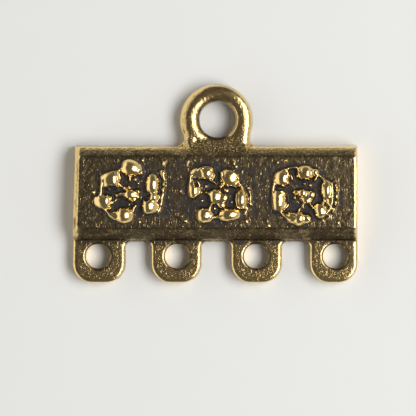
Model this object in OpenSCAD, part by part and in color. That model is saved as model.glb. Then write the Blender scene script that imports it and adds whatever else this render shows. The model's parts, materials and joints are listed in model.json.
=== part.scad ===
// Four-strand connector: a one-piece casting that joins four strands of beads to one loop.
// X runs along the bar, Y points to the main loop and Z points out of the face. The back lies
// on Z = 0, and the origin is at the middle of the outline.

/* [Bar] */
// Length of the bar over both ends
bar_l = 20; // [19:0.5:24]
// Height of the bar, from the tops of the slots to its top edge
bar_h = 6.7; // [6.4:0.1:7.4]
// Distance that the top of the left end leans inwards
bar_lean = 0.22; // [0:0.02:0.4]
// Thickness at the raised field
field_t = 2; // [1.7:0.05:2.4]
// Thickness at the bar's top edge
top_edge_t = 1.5; // [1.2:0.05:1.6]
// Thickness at the bar's bottom edge
low_edge_t = 1.3; // [1.2:0.05:1.6]
// Width of the sloping band above the field
top_band = 0.75; // [0.4:0.05:0.9]
// Width of the sloping band below the field
low_band = 0.9; // [0.4:0.05:1]
// Width of the ledge outside the thick body at the left end
left_ledge = 0.2; // [0.05:0.05:0.3]
// Width of the ledge outside the thick body at the right end
right_ledge = 0.1; // [0.05:0.05:0.3]

/* [Strand loops] */
// Spacing of the strand loops
strand_pitch = 5.53; // [5.3:0.01:6]
// Distance that the row of strand loops sits to the right of the bar's middle
strand_shift = 0.1; // [0:0.05:0.2]
// Width of one strand loop
strand_w = 3.55; // [3.2:0.05:3.7]
// Length of one strand loop below the bar
strand_drop = 2.9; // [2.6:0.1:3.4]
// Thickness of the strand loops and of the plate under the bar
strand_t = 1.05; // [0.8:0.05:1.15]
// Radius of the strand loops' bottom corners
strand_corner_r = 1.4; // [0.6:0.1:1.5]
// Radius of the inside corners at the tops of the slots
slot_corner_r = 0.35; // [0.1:0.05:0.6]
// Radius of the hole in each strand loop
strand_hole_r = 0.84; // [0.6:0.02:0.9]
// Distance from the bar down to the middle of each strand hole
strand_hole_drop = 1.04; // [1:0.02:1.2]

/* [Main loop] */
// Distance that the main loop sits to the right of the bar's middle
loop_shift = 0.1; // [-0.3:0.05:0.3]
// Height of the main loop's middle above the bar's top edge
loop_rise = 1.75; // [1.6:0.05:2.2]
// Outer radius of the main loop
loop_r = 2.55; // [2.4:0.05:2.8]
// Radius of the main loop's round section
loop_wire_r = 0.75; // [0.7:0.05:0.8]
// Radius of the main loop's hole
loop_hole_r = 1.25; // [1.15:0.05:1.3]
// Distance that the hole sits off the main loop's middle, in X and in Y
loop_hole_off = 0.06; // [0:0.02:0.08]
// Depth that the back of the main loop is flattened
loop_flat = 0.05; // [0.02:0.01:0.1]
// Radius of the fillets between the main loop and the bar
neck_fillet_r = 0.6; // [0.3:0.1:0.9]
// Thickness of the web that closes the foot of the main loop
web_t = 1.3; // [1.1:0.05:1.4]
// Width of the web at the bar
web_w = 4.2; // [3:0.1:4.6]
// Difference between the web's width at the bar and at the hole
web_taper = 0.6; // [0:0.1:1]

/* [Rosettes] */
// Spacing of the rosettes' middles along the bar
rosette_pitch = 6.2; // [5.9:0.1:6.6]
// Distance from the tops of the slots up to the rosettes' middles
rosette_rise = 3.32; // [3.2:0.02:3.5]
// Scale of the petals' heights above the field
petal_rise = 1; // [0.7:0.05:1.3]
// Fullness of the petals: 1 is a half ball, less is flatter on top with steeper sides
fullness = 0.65; // [0.5:0.05:1]
// Depth that the petals are rooted in the bar
root = 0.1; // [0.05:0.05:0.3]
// Sides of one petal
petal_sides = 16; // [8:2:18]
// Rings of facets from a petal's foot to its top
petal_rings = 5; // [3:1:6]

/* [Hidden] */
$fn = 64;

strands = 4;
overall_h = strand_drop + bar_h + loop_rise + loop_r;
slot_y = strand_drop - overall_h / 2;
bar_top = slot_y + bar_h;
loop_y = bar_top + loop_rise;
past = 1; // how far a cutter runs past the face that it cuts

// Petals and beads of one rosette, one row each: x and y of the top from the rosette's middle,
// direction in degrees, half length forwards, half length backwards, half width, height
left_petals = [
    [0.35, 1.85, 81, 0.62, 0.78, 0.88, 0.52],
    [-1.14, 1.19, 140, 0.65, 0.74, 0.72, 0.50],
    [-1.72, -0.52, 197, 0.52, 0.67, 0.65, 0.48],
    [-0.19, -1.47, 261, 0.58, 0.74, 0.95, 0.50],
    [1.54, -0.91, 326, 0.62, 0.74, 0.60, 0.54],
    [1.79, 0.77, 20, 0.55, 0.67, 0.73, 0.52],
    [1.99, -0.19, 0, 0.34, 0.34, 0.34, 0.50],
    [0.32, 0.01, 0, 0.44, 0.44, 0.41, 0.50],
    [-0.29, -0.04, 0, 0.39, 0.60, 0.25, 0.36],
    [0.20, -0.75, -30, 0.18, 0.18, 0.28, 0.26],
    [0.50, -1.02, -30, 0.18, 0.18, 0.39, 0.32],
    [-0.86, -0.46, 45, 0.39, 0.39, 0.17, 0.24],
];
middle_petals = [
    [-0.59, 1.45, 110, 0.58, 0.74, 0.66, 0.50],
    [-1.40, 1.31, 145, 0.53, 0.64, 0.52, 0.44],
    [-1.47, 0.23, 178, 0.52, 0.60, 0.56, 0.50],
    [1.02, 1.14, 52, 0.63, 0.74, 0.86, 0.52],
    [1.78, -0.39, 350, 0.52, 0.60, 0.70, 0.52],
    [1.04, -1.44, 280, 0.49, 0.67, 0.90, 0.50],
    [-0.67, -1.45, 250, 0.58, 0.67, 0.77, 0.50],
    [0.14, -0.19, 10, 0.42, 0.42, 0.51, 0.52],
    [0.63, -0.27, 0, 0.32, 0.32, 0.34, 0.48],
    [0.48, -0.78, 0, 0.29, 0.29, 0.24, 0.40],
    [0.86, 0.25, 0, 0.28, 0.28, 0.28, 0.26],
    [0.01, -1.05, 0, 0.27, 0.27, 0.28, 0.26],
    [-0.42, -0.08, -48, 0.44, 0.44, 0.20, 0.32],
    [-0.35, -0.99, -15, 0.17, 0.17, 0.29, 0.32],
    [-0.10, 1.23, -25, 0.17, 0.17, 0.37, 0.34],
    [-1.11, 0.71, 30, 0.17, 0.17, 0.35, 0.28],
];
right_petals = [
    [-1.40, 1.16, 139, 0.66, 0.77, 0.70, 0.52],
    [0.09, 1.51, 88, 0.59, 0.74, 0.74, 0.52],
    [0.88, 1.45, 60, 0.32, 0.32, 0.31, 0.44],
    [1.72, 0.37, 13, 0.53, 0.64, 0.90, 0.54],
    [1.34, -1.14, 321, 0.65, 0.74, 0.70, 0.54],
    [-0.28, -1.65, 263, 0.52, 0.71, 0.94, 0.50],
    [-1.31, -1.48, 225, 0.25, 0.25, 0.34, 0.34],
    [-1.72, -0.46, 190, 0.56, 0.64, 0.72, 0.50],
    [-0.01, 0.06, 0, 0.35, 0.35, 0.35, 0.50],
    [0.58, -0.00, 0, 0.32, 0.32, 0.32, 0.46],
    [0.24, -0.44, 0, 0.38, 0.38, 0.28, 0.44],
    [-0.54, 0.15, 0, 0.32, 0.32, 0.27, 0.36],
    [0.86, 0.99, -35, 0.18, 0.18, 0.32, 0.38],
    [-1.10, -0.95, -35, 0.17, 0.17, 0.39, 0.28],
    [-0.22, -1.09, -10, 0.17, 0.17, 0.29, 0.28],
];
rosette_petals = [left_petals, middle_petals, right_petals];

function hole_x(i) = strand_shift + (i - (strands - 1) / 2) * strand_pitch;
// Left and right sides of strand loop i, which stays within the bar's ends
function strand_left(i) = max(hole_x(i) - strand_w / 2, -bar_l / 2);
function strand_right(i) = min(hole_x(i) + strand_w / 2, bar_l / 2);

// Height of a petal at the share q of its half width, from its rim at 1 to its middle at 0
function petal_z(q, h) = (h + root) * pow(1 - q * q, fullness / 2) - root;

// Points of one petal: rings from its foot to its top, then the point at its middle
function petal_points(fore, aft, w, h) = [
    for (ring = [0:petal_rings - 1], side = [0:petal_sides - 1])
        let (q = cos(90 * ring / petal_rings), a = 360 * side / petal_sides, l = cos(a) > 0 ? fore : aft)
            [l * q * cos(a), w * q * sin(a), petal_z(q, h)],
    [0, 0, petal_z(0, h)],
];

// Faces of one petal: its foot, the bands between its rings and the fan at its middle
function petal_faces() = let (n = petal_sides, top = petal_sides * petal_rings) concat(
    [[for (side = [0:n - 1]) side]],
    [for (ring = [0:petal_rings - 2], side = [0:n - 1])
        let (a = ring * n + side, b = ring * n + (side + 1) % n)
            each [[a, a + n, b], [b, a + n, b + n]]],
    [for (side = [0:n - 1])
        let (a = top - n + side, b = top - n + (side + 1) % n)
            [a, top, b]]);

// Flat corner piece that rounds an inside corner at the origin, towards +X and +Y
module inside_corner(r) {
    difference() {
        square(r);
        translate([r, r]) circle(r);
    }
}

// Outline of the bar, drawn in at its left and right end
module bar_outline(left, right) {
    polygon([[left - bar_l / 2, slot_y], [bar_l / 2 - right, slot_y], [bar_l / 2 - right, bar_top],
        [left + bar_lean - bar_l / 2, bar_top]]);
}

// Thick bar with a raised field between two sloping bands, on a plate with a ledge at each end
module bar() {
    face = [[slot_y, 0], [bar_top, 0], [bar_top, top_edge_t], [bar_top - top_band, field_t],
        [slot_y + low_band, field_t], [slot_y, low_edge_t]];
    linear_extrude(strand_t) bar_outline(0, 0);
    intersection() {
        translate([-bar_l / 2, 0, 0]) rotate([90, 0, 90]) linear_extrude(bar_l) polygon(face);
        linear_extrude(field_t) bar_outline(left_ledge, right_ledge);
    }
}

// Outline of strand loop i, from inside the bar down to its rounded bottom
module strand_outline(i) {
    r = strand_corner_r;
    bottom = slot_y - strand_drop;
    x0 = strand_left(i);
    x1 = strand_right(i);
    translate([x0 + r, bottom + r]) circle(r);
    translate([x1 - r, bottom + r]) circle(r);
    translate([x0 + r, bottom]) square([x1 - x0 - 2 * r, r]);
    translate([x0, bottom + r]) square([x1 - x0, strand_drop - r + low_band]);
}

// Row of flat strand loops, with rounded inside corners at the tops of the slots
module strand_loops() {
    linear_extrude(strand_t) {
        for (i = [0:strands - 1]) strand_outline(i);
        for (i = [0:strands - 2]) {
            translate([strand_right(i), slot_y]) mirror([0, 1]) inside_corner(slot_corner_r);
            translate([strand_left(i + 1), slot_y]) rotate(180) inside_corner(slot_corner_r);
        }
    }
}

// Round main loop with a flattened back
module main_loop() {
    wire_z = loop_wire_r - loop_flat;
    span = 2 * loop_r + past;
    translate([loop_shift, loop_y, 0]) intersection() {
        translate([0, 0, wire_z]) rotate_extrude() translate([loop_r - loop_wire_r, 0])
            circle(loop_wire_r);
        translate([0, 0, loop_wire_r]) cube([span, span, 2 * loop_wire_r], center = true);
    }
}

// Foot of the main loop: a plate with a fillet on each side and a thicker web on it
module neck() {
    fillet_y = bar_top + neck_fillet_r;
    reach = sqrt(pow(loop_r + neck_fillet_r, 2) - pow(fillet_y - loop_y, 2));
    foot = [[-reach, bar_top - top_band], [reach, bar_top - top_band], [reach, fillet_y], [0, loop_y],
        [-reach, fillet_y]];
    low = web_w / 2;
    high = low - web_taper / 2;
    web = [[-low, bar_top - top_band / 2], [low, bar_top - top_band / 2], [low, bar_top],
        [high, loop_y - loop_hole_r], [-high, loop_y - loop_hole_r], [-low, bar_top]];
    translate([loop_shift, 0, 0]) {
        linear_extrude(strand_t) difference() {
            polygon(foot);
            for (side = [-1, 1]) translate([side * reach, fillet_y]) circle(neck_fillet_r);
        }
        linear_extrude(web_t) polygon(web);
    }
}

// One petal or bead, laid at its place and direction
module petal(row) {
    translate([row[0], row[1], 0]) rotate(row[2])
        polyhedron(petal_points(row[3], row[4], row[5], row[6] * petal_rise), petal_faces());
}

// Rosette of petals around a few beads, standing on the field
module rosette(petals) {
    translate([0, 0, field_t]) for (row = petals) petal(row);
}

module cast_connector() {
    color("darkgoldenrod") difference() {
        union() {
            bar();
            strand_loops();
            main_loop();
            neck();
            for (i = [0:2])
                translate([(i - 1) * rosette_pitch, slot_y + rosette_rise, 0])
                    rosette(rosette_petals[i]);
        }
        for (i = [0:strands - 1])
            translate([hole_x(i), slot_y - strand_hole_drop, -past])
                cylinder(r = strand_hole_r, h = strand_t + 2 * past);
        translate([loop_shift + loop_hole_off, loop_y + loop_hole_off, -past])
            cylinder(r = loop_hole_r, h = 2 * loop_wire_r + 2 * past);
    }
}

cast_connector();
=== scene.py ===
"""Dresses the four-strand connector: a cast, antique-gold bar with three rosettes.

The casting is one mesh. It is roughed out from a drafted base plate, a raised slab, a round main
loop and the petals of three rosettes, fused, softened, pitted and then given its worn gold.
All modelling is in millimetres, and the finished mesh is brought to metres at the end.
"""

from __future__ import annotations

import json
import logging
import math
from collections.abc import Callable, Iterator
from contextlib import contextmanager
from dataclasses import dataclass, field
from enum import Enum

import bmesh
import bpy
import numpy as np
from mathutils import Euler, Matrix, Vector


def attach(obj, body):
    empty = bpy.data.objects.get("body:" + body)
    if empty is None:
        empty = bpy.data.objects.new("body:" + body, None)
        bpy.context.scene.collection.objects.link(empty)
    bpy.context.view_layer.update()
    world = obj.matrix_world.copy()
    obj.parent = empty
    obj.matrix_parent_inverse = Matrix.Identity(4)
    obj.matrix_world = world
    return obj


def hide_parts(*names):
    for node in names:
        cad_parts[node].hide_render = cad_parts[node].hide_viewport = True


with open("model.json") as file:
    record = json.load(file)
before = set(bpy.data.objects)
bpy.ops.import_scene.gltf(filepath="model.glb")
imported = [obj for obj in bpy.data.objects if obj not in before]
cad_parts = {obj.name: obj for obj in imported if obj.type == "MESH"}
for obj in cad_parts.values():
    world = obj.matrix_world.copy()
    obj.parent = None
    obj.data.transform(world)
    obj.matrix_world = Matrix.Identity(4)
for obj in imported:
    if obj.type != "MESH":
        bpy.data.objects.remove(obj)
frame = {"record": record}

MM = 0.001
NODE = "cast_connector"
BODY = "root"
UP = Vector((0.0, 0.0, 1.0))
NEAR = 1e-3
WELD = 1e-4
SMOOTHING = 0.5

Span = tuple[float, float]

log = logging.getLogger("connector")


class Pick(Enum):
    """Kinds of mesh element that an edit works on."""

    VERTS = "VERT"
    EDGES = "EDGE"
    FACES = "FACE"


class Workpiece:
    """One mesh on the bench, shaped with Blender's own tools, in millimetres."""

    def __init__(self, piece: bpy.types.Object) -> None:
        """Takes an object onto the bench.

        Args:
            piece: the mesh object that the edits act on.
        """
        self.piece = piece

    @staticmethod
    def fresh(name: str) -> Workpiece:
        """Names the primitive that was just added.

        Args:
            name: the new object's name.

        Returns:
            The primitive as a workpiece.
        """
        made = bpy.context.object
        made.name = name
        made.data.name = name
        return Workpiece(made)

    @classmethod
    def block(cls, name: str, low: Vector, high: Vector) -> Workpiece:
        """Adds a block between two corners.

        Args:
            name: the new object's name.
            low: lowest corner.
            high: highest corner.

        Returns:
            The block.
        """
        bpy.ops.object.select_all(action="DESELECT")
        bpy.ops.mesh.primitive_cube_add(size=1.0, location=(low + high) / 2, scale=high - low)
        made = cls.fresh(name)
        made.settle()
        return made

    @classmethod
    def sheet(cls, name: str, low: Vector, high: Vector) -> Workpiece:
        """Adds a flat face between two corners, at the height of the first.

        Args:
            name: the new object's name.
            low: corner with the lowest X and Y.
            high: corner with the highest X and Y.

        Returns:
            The face, which looks up.
        """
        middle = (low + high) / 2
        middle.z = low.z
        bpy.ops.object.select_all(action="DESELECT")
        bpy.ops.mesh.primitive_plane_add(size=1.0, location=middle)
        made = cls.fresh(name)
        made.piece.scale = (high.x - low.x, high.y - low.y, 1.0)
        made.settle()
        return made

    @classmethod
    def grid(cls, name: str, low: Vector, high: Vector, count: int) -> Workpiece:
        """Adds a flat sheet of small square faces between two corners.

        Args:
            name: the new object's name.
            low: corner with the lowest X and Y.
            high: corner with the highest X and Y.
            count: faces along each side.

        Returns:
            The sheet, which looks up.
        """
        bpy.ops.object.select_all(action="DESELECT")
        bpy.ops.mesh.primitive_grid_add(x_subdivisions=count, y_subdivisions=count, size=1.0,
                                        location=(low + high) / 2)
        made = cls.fresh(name)
        made.piece.scale = (high.x - low.x, high.y - low.y, 1.0)
        made.settle()
        return made

    @classmethod
    def lathe(cls, name: str, profile: list[tuple[float, float]], centre: Vector, steps: int) -> Workpiece:
        """Spins a closed profile into a solid round a vertical axis.

        Args:
            name: the new object's name.
            profile: radius and height of each corner of the profile.
            centre: point on the axis that the heights count from.
            steps: faces round the solid.

        Returns:
            The turned solid.
        """
        bpy.ops.object.select_all(action="DESELECT")
        bpy.ops.mesh.primitive_plane_add(size=1.0, location=(0.0, 0.0, 0.0))
        made = cls.fresh(name)
        with made.editing(Pick.VERTS, lambda v: True):
            bpy.ops.mesh.merge(type="CENTER")
            bpy.ops.transform.translate(value=centre + Vector((profile[0][0], 0.0, profile[0][1])))
            for (r0, z0), (r1, z1) in zip(profile, profile[1:]):
                bpy.ops.mesh.extrude_region_move(
                    TRANSFORM_OT_translate={"value": (r1 - r0, 0.0, z1 - z0)})
            bpy.ops.mesh.select_all(action="SELECT")
            bpy.ops.mesh.spin(steps=steps, angle=math.tau, center=centre, axis=UP)
            bpy.ops.mesh.select_all(action="SELECT")
            bpy.ops.mesh.remove_doubles(threshold=WELD)
            bpy.ops.mesh.normals_make_consistent(inside=False)
        return made

    def activate(self) -> None:
        """Selects this object alone and makes it the active one."""
        bpy.ops.object.select_all(action="DESELECT")
        self.piece.select_set(True)
        bpy.context.view_layer.objects.active = self.piece

    def settle(self) -> None:
        """Puts the object's place, turn and size into its mesh."""
        self.activate()
        bpy.ops.object.transform_apply(location=True, rotation=True, scale=True)

    @contextmanager
    def editing(self, kind: Pick, test: Callable[[object], bool]) -> Iterator[None]:
        """Opens the mesh for editing, with the elements that pass a test selected.

        Args:
            kind: what is selected: vertices, edges or faces.
            test: takes a vertex, an edge or a face.

        Yields:
            Nothing; the selection is the open mesh's own.
        """
        self.activate()
        bpy.ops.object.mode_set(mode="EDIT")
        bpy.ops.mesh.select_mode(type=kind.value)
        bpy.ops.mesh.select_all(action="DESELECT")
        mesh = bmesh.from_edit_mesh(self.piece.data)
        elements = {Pick.VERTS: mesh.verts, Pick.EDGES: mesh.edges, Pick.FACES: mesh.faces}[kind]
        for element in elements:
            if test(element):
                element.select_set(True)
        mesh.select_flush_mode()
        bmesh.update_edit_mesh(self.piece.data)
        yield
        bpy.ops.object.mode_set(mode="OBJECT")

    def split(self, point: Vector, normal: Vector) -> None:
        """Cuts new edges where a plane crosses the mesh.

        Args:
            point: a point on the plane.
            normal: the plane's normal.
        """
        with self.editing(Pick.FACES, lambda face: True):
            bpy.ops.mesh.bisect(plane_co=point, plane_no=normal)

    def trim(self, point: Vector, normal: Vector) -> None:
        """Cuts off what lies behind a plane and closes the cut.

        Args:
            point: a point on the plane.
            normal: the plane's normal, towards what stays.
        """
        with self.editing(Pick.FACES, lambda face: True):
            bpy.ops.mesh.bisect(plane_co=point, plane_no=normal, clear_inner=True, use_fill=True)

    def shift(self, test: Callable[[object], bool], offset: Vector) -> None:
        """Moves the vertices that pass a test.

        Args:
            test: takes a vertex.
            offset: how far they move.
        """
        with self.editing(Pick.VERTS, test):
            bpy.ops.transform.translate(value=offset)

    def modify(self, kind: str, **settings: object) -> None:
        """Adds a modifier and applies it.

        Args:
            kind: the modifier's type.
            settings: the modifier's own properties.
        """
        self.activate()
        modifier = self.piece.modifiers.new(kind.lower(), kind)
        for key, value in settings.items():
            setattr(modifier, key, value)
        bpy.ops.object.modifier_apply(modifier=modifier.name)

    def cut(self, cutter: Workpiece) -> None:
        """Takes another solid out of this one, and clears that solid away.

        Args:
            cutter: the solid that is taken out.
        """
        self.modify("BOOLEAN", object=cutter.piece, operation="DIFFERENCE", solver="EXACT")
        cutter.discard()

    def copy(self, name: str) -> Workpiece:
        """Copies this object with a mesh of its own.

        Args:
            name: the copy's name.

        Returns:
            The copy.
        """
        self.activate()
        bpy.ops.object.duplicate(linked=False)
        return self.fresh(name)

    def join(self, others: list[Workpiece]) -> None:
        """Takes the meshes of other objects into this one.

        Args:
            others: the objects that are taken in.
        """
        self.activate()
        for other in others:
            other.piece.select_set(True)
        bpy.ops.object.join()

    def discard(self) -> None:
        """Removes the object and its mesh."""
        mesh = self.piece.data
        bpy.data.objects.remove(self.piece)
        bpy.data.meshes.remove(mesh)

    def points(self) -> np.ndarray:
        """Reads the vertices' places.

        Returns:
            The places, one row each.
        """
        flat = np.empty(len(self.piece.data.vertices) * 3, np.float32)
        self.piece.data.vertices.foreach_get("co", flat)
        return flat.reshape(-1, 3).astype(float)

    def place(self, points: np.ndarray) -> None:
        """Moves every vertex.

        Args:
            points: the new places, one row each.
        """
        self.piece.data.vertices.foreach_set("co", points.astype(np.float32).ravel())
        self.piece.data.update()

    def normals(self) -> np.ndarray:
        """Reads the vertices' normals.

        Returns:
            The normals, one row each.
        """
        flat = np.empty(len(self.piece.data.vertices) * 3, np.float32)
        self.piece.data.vertex_normals.foreach_get("vector", flat)
        return flat.reshape(-1, 3).astype(float)

    def weigh(self, name: str, weights: np.ndarray) -> None:
        """Stores weights from 0 to 1 as a vertex group, in steps of a sixteenth.

        Args:
            name: the group's name.
            weights: one weight for each vertex.
        """
        steps = 16
        group = self.piece.vertex_groups.new(name=name)
        levels = np.round(np.clip(weights, 0.0, 1.0) * steps).astype(int)
        for level in range(1, steps + 1):
            members = np.flatnonzero(levels == level).tolist()
            if members:
                group.add(members, level / steps, "REPLACE")

    def attribute(self, name: str, values: np.ndarray) -> None:
        """Stores one number for each vertex, for the finish to read.

        Args:
            name: the attribute's name.
            values: one number for each vertex.
        """
        layer = self.piece.data.attributes.new(name, "FLOAT", "POINT")
        layer.data.foreach_set("value", values.astype(np.float32))


def hole_cutter(name: str, radius: float, flare: float, top: float, centre: Vector) -> Workpiece:
    """Turns the cutter of a round hole whose rims flare out at the face and the back.

    Args:
        name: the cutter's name.
        radius: radius of the hole's straight wall.
        flare: radius of the rounding at the face; the back has a third of it.
        top: height of the face that the hole opens in.
        centre: point on the hole's axis, at the back.

    Returns:
        The cutter.
    """
    past = 0.6
    rim_steps = 5
    small = flare / 3
    angles = [math.pi / 2 * step / rim_steps for step in range(rim_steps + 1)]
    back = [(radius + small - small * math.sin(a), small - small * math.cos(a)) for a in angles]
    face = [(radius + flare - flare * math.cos(a), top - flare + flare * math.sin(a)) for a in angles]
    outer = [(radius + flare, top + past), (0.0, top + past)]
    profile = [(0.0, -past), (radius + small, -past), *back, *face, *outer]
    return Workpiece.lathe(name, profile, centre, steps=64)


@dataclass
class Holes:
    """The five holes, taken from the part's own mounts, in millimetres."""

    strand: list[Vector] = field(default_factory=list)
    strand_r: float = 0.0
    main: Vector = field(default_factory=Vector)
    main_r: float = 0.0
    tab_reach: Span = (1.2, 1.6)

    @classmethod
    def from_record(cls, record: dict) -> Holes:
        """Reads the places and radii of the holes.

        Args:
            record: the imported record.

        Returns:
            The holes.
        """
        made = cls()
        for mount in record["mounts"]:
            if mount["kind"] != "bore":
                continue
            place = Vector(mount["pos_m"]) / MM
            place.z = 0.0
            if mount["name"] == "main_loop":
                made.main, made.main_r = place, mount["dims"]["r_mm"]
            else:
                made.strand.append(place)
                made.strand_r = mount["dims"]["r_mm"]
        return made

    def over_tabs(self, points: np.ndarray) -> np.ndarray:
        """Finds the places in line with a strand hole, well inside the strand loop's width.

        Args:
            points: places on the casting, one row each.

        Returns:
            A share from 0 to 1 for each place.
        """
        gaps = [np.abs(points[:, 0] - place.x) for place in self.strand]
        return 1 - ramp(np.min(gaps, axis=0), *self.tab_reach)


@dataclass
class BasePlate:
    """Flat plate of the bar, the strand loops and the neck, with drafted and rounded walls."""

    holes: Holes
    left: float = -10.0
    right: float = 10.0
    slot_y: float = -4.09
    bar_top: float = 2.65
    bar_lean: float = 0.17
    strand_spans: tuple[tuple[float, float], ...] = (
        (-10.0, -6.25), (-4.49, -0.93), (1.10, 4.70), (6.60, 10.0))
    strand_drop: float = 2.89
    strand_corner_r: float = 1.38
    slot_corner_r: float = 0.38
    neck_half_w: float = 2.3
    neck_h: float = 0.85
    neck_x: float = 0.1
    neck_fillet_r: float = 0.6
    thickness: float = 1.06
    back_round: float = 0.06
    draft: float = math.radians(3.5)
    edge_w: float = 0.28
    edge_h: float = 0.15
    rim_round: float = 0.2

    def outline(self) -> Workpiece:
        """Draws the plate's outline as one flat face.

        Returns:
            The face, at the height of the back's rounding.
        """
        plate = Workpiece.sheet("base_plate", Vector((self.left, self.slot_y, self.back_round)),
                                Vector((self.right, self.bar_top, self.back_round)))
        sides = self.strand_spans
        neck = (self.neck_x - self.neck_half_w, self.neck_x + self.neck_half_w)
        for x in [x for pair in sides for x in pair] + list(neck):
            if self.left < x < self.right:
                plate.split(Vector((x, 0.0, 0.0)), Vector((1.0, 0.0, 0.0)))

        def under_strand(edge: bmesh.types.BMEdge) -> bool:
            """Tells whether an edge is where a strand loop starts."""
            middle = (edge.verts[0].co + edge.verts[1].co) / 2
            return abs(middle.y - self.slot_y) < NEAR and any(low < middle.x < high for low, high in sides)

        def under_neck(edge: bmesh.types.BMEdge) -> bool:
            """Tells whether an edge is where the neck starts."""
            middle = (edge.verts[0].co + edge.verts[1].co) / 2
            return abs(middle.y - self.bar_top) < NEAR and neck[0] < middle.x < neck[1]

        with plate.editing(Pick.EDGES, under_strand):
            bpy.ops.mesh.extrude_region_move(TRANSFORM_OT_translate={"value": (0.0, -self.strand_drop, 0.0)})
        with plate.editing(Pick.EDGES, under_neck):
            bpy.ops.mesh.extrude_region_move(TRANSFORM_OT_translate={"value": (0.0, self.neck_h, 0.0)})
        with plate.editing(Pick.FACES, lambda face: True):
            bpy.ops.mesh.dissolve_faces()
            bpy.ops.mesh.select_all(action="SELECT")
            bpy.ops.mesh.dissolve_limited(angle_limit=math.radians(1))
        bottom = self.slot_y - self.strand_drop
        plate.shift(lambda v: v.co.x < 0 and v.co.y > 0 and v.co.x < self.left + NEAR,
                    Vector((self.bar_lean, 0.0, 0.0)))
        self.round_corners(plate, lambda v: abs(v.co.y - bottom) < NEAR,
                           radius=self.strand_corner_r, segments=10)
        self.round_corners(plate, lambda v: abs(v.co.y - self.slot_y) < NEAR
                           and self.left + NEAR < v.co.x < self.right - NEAR,
                           radius=self.slot_corner_r, segments=6)
        self.round_corners(plate, lambda v: abs(v.co.y - self.bar_top) < NEAR
                           and abs(v.co.x - self.neck_x) < self.neck_half_w + NEAR,
                           radius=self.neck_fillet_r, segments=8)
        return plate

    @staticmethod
    def round_corners(plate: Workpiece, test: Callable[[object], bool], radius: float, segments: int) -> None:
        """Rounds the outline's corners that pass a test.

        Args:
            plate: the flat face.
            test: takes a vertex.
            radius: radius of the rounding.
            segments: edges in each rounding.
        """
        with plate.editing(Pick.VERTS, test):
            bpy.ops.mesh.bevel(affect="VERTICES", offset=radius, segments=segments, profile=0.5)

    def build(self) -> Workpiece:
        """Raises the outline into a solid plate and drills the strand holes.

        Returns:
            The plate.
        """
        plate = self.outline()
        back = plate.copy("plate_back")
        with back.editing(Pick.FACES, lambda face: True):
            bpy.ops.mesh.flip_normals()
            bpy.ops.mesh.inset(thickness=self.back_round, depth=self.back_round)
        for width, height in self.wall_steps():
            with plate.editing(Pick.FACES, lambda face: len(face.verts) > 4):
                bpy.ops.mesh.inset(thickness=width, depth=height)
        plate.join([back])
        with plate.editing(Pick.FACES, lambda face: True):
            bpy.ops.mesh.remove_doubles(threshold=WELD)
            bpy.ops.mesh.normals_make_consistent(inside=False)
        for place in self.holes.strand:
            plate.cut(hole_cutter("strand_drill", self.holes.strand_r, self.rim_round, self.thickness, place))
        return plate

    def wall_steps(self) -> list[tuple[float, float]]:
        """Works out the steep wall and the low, wide rounding of the edge above it.

        Returns:
            Width inwards and height upwards of each step, from the back up.
        """
        segments = 7
        turns = [math.pi / 2 * step / segments for step in range(segments + 1)]
        wall_h = self.thickness - self.back_round - self.edge_h
        steps = [(wall_h * math.tan(self.draft), wall_h)]
        for a, b in zip(turns, turns[1:]):
            steps.append((self.edge_w * (math.cos(a) - math.cos(b)),
                          self.edge_h * (math.sin(b) - math.sin(a))))
        return steps


@dataclass
class Slab:
    """Thick body of the bar: a raised field between two sloping bands, with steep ends."""

    left: float = -9.95
    right: float = 9.97
    low: float = -4.0
    high: float = 2.60
    base_z: float = 0.4
    high_edge_z: float = 1.38
    low_edge_z: float = 1.16
    field_z: float = 2.0
    top_band: float = 0.74
    low_band: float = 0.88
    lean: float = 0.15
    left_draft: float = 0.04
    right_draft: float = 0.10
    side_draft: float = 0.05
    edge_round: float = 0.09
    left_chamfer: float = 0.30
    left_end_w: float = 0.5
    left_end_gap: float = 0.5
    flat_angle: float = math.radians(8)

    def build(self) -> Workpiece:
        """Shapes the slab from a block.

        Returns:
            The slab.
        """
        slab = Workpiece.block("slab", Vector((self.left, self.low, self.base_z)),
                               Vector((self.right, self.high, self.field_z)))
        slab.split(Vector((0.0, self.high - self.top_band, 0.0)), Vector((0.0, 1.0, 0.0)))
        slab.split(Vector((0.0, self.low + self.low_band, 0.0)), Vector((0.0, 1.0, 0.0)))
        above = self.base_z + NEAR
        slab.shift(lambda v: v.co.z > above and v.co.x < 0, Vector((self.left_draft, 0.0, 0.0)))
        slab.shift(lambda v: v.co.z > above and v.co.x > 0, Vector((-self.right_draft, 0.0, 0.0)))
        slab.shift(lambda v: v.co.z > above and v.co.y > self.high - NEAR,
                   Vector((0.0, -self.side_draft, self.high_edge_z - self.field_z)))
        slab.shift(lambda v: v.co.z > above and v.co.y < self.low + NEAR,
                   Vector((0.0, self.side_draft, self.low_edge_z - self.field_z)))
        slab.shift(lambda v: v.co.x < 0 and v.co.y > 0, Vector((self.lean, 0.0, 0.0)))
        with slab.editing(Pick.EDGES, lambda e: all(v.co.z > above for v in e.verts)
                          and all(v.co.x < self.left + self.left_end_w for v in e.verts)):
            bpy.ops.mesh.bevel(affect="EDGES", offset=self.left_chamfer, segments=1, profile=0.5)
        with slab.editing(Pick.EDGES, lambda e: all(v.co.z > above for v in e.verts)
                          and any(v.co.x > self.left + self.left_end_w + self.left_end_gap for v in e.verts)
                          and len(e.link_faces) == 2 and e.calc_face_angle() > self.flat_angle):
            bpy.ops.mesh.bevel(affect="EDGES", offset=self.edge_round, segments=3, profile=0.5)
        return slab


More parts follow.
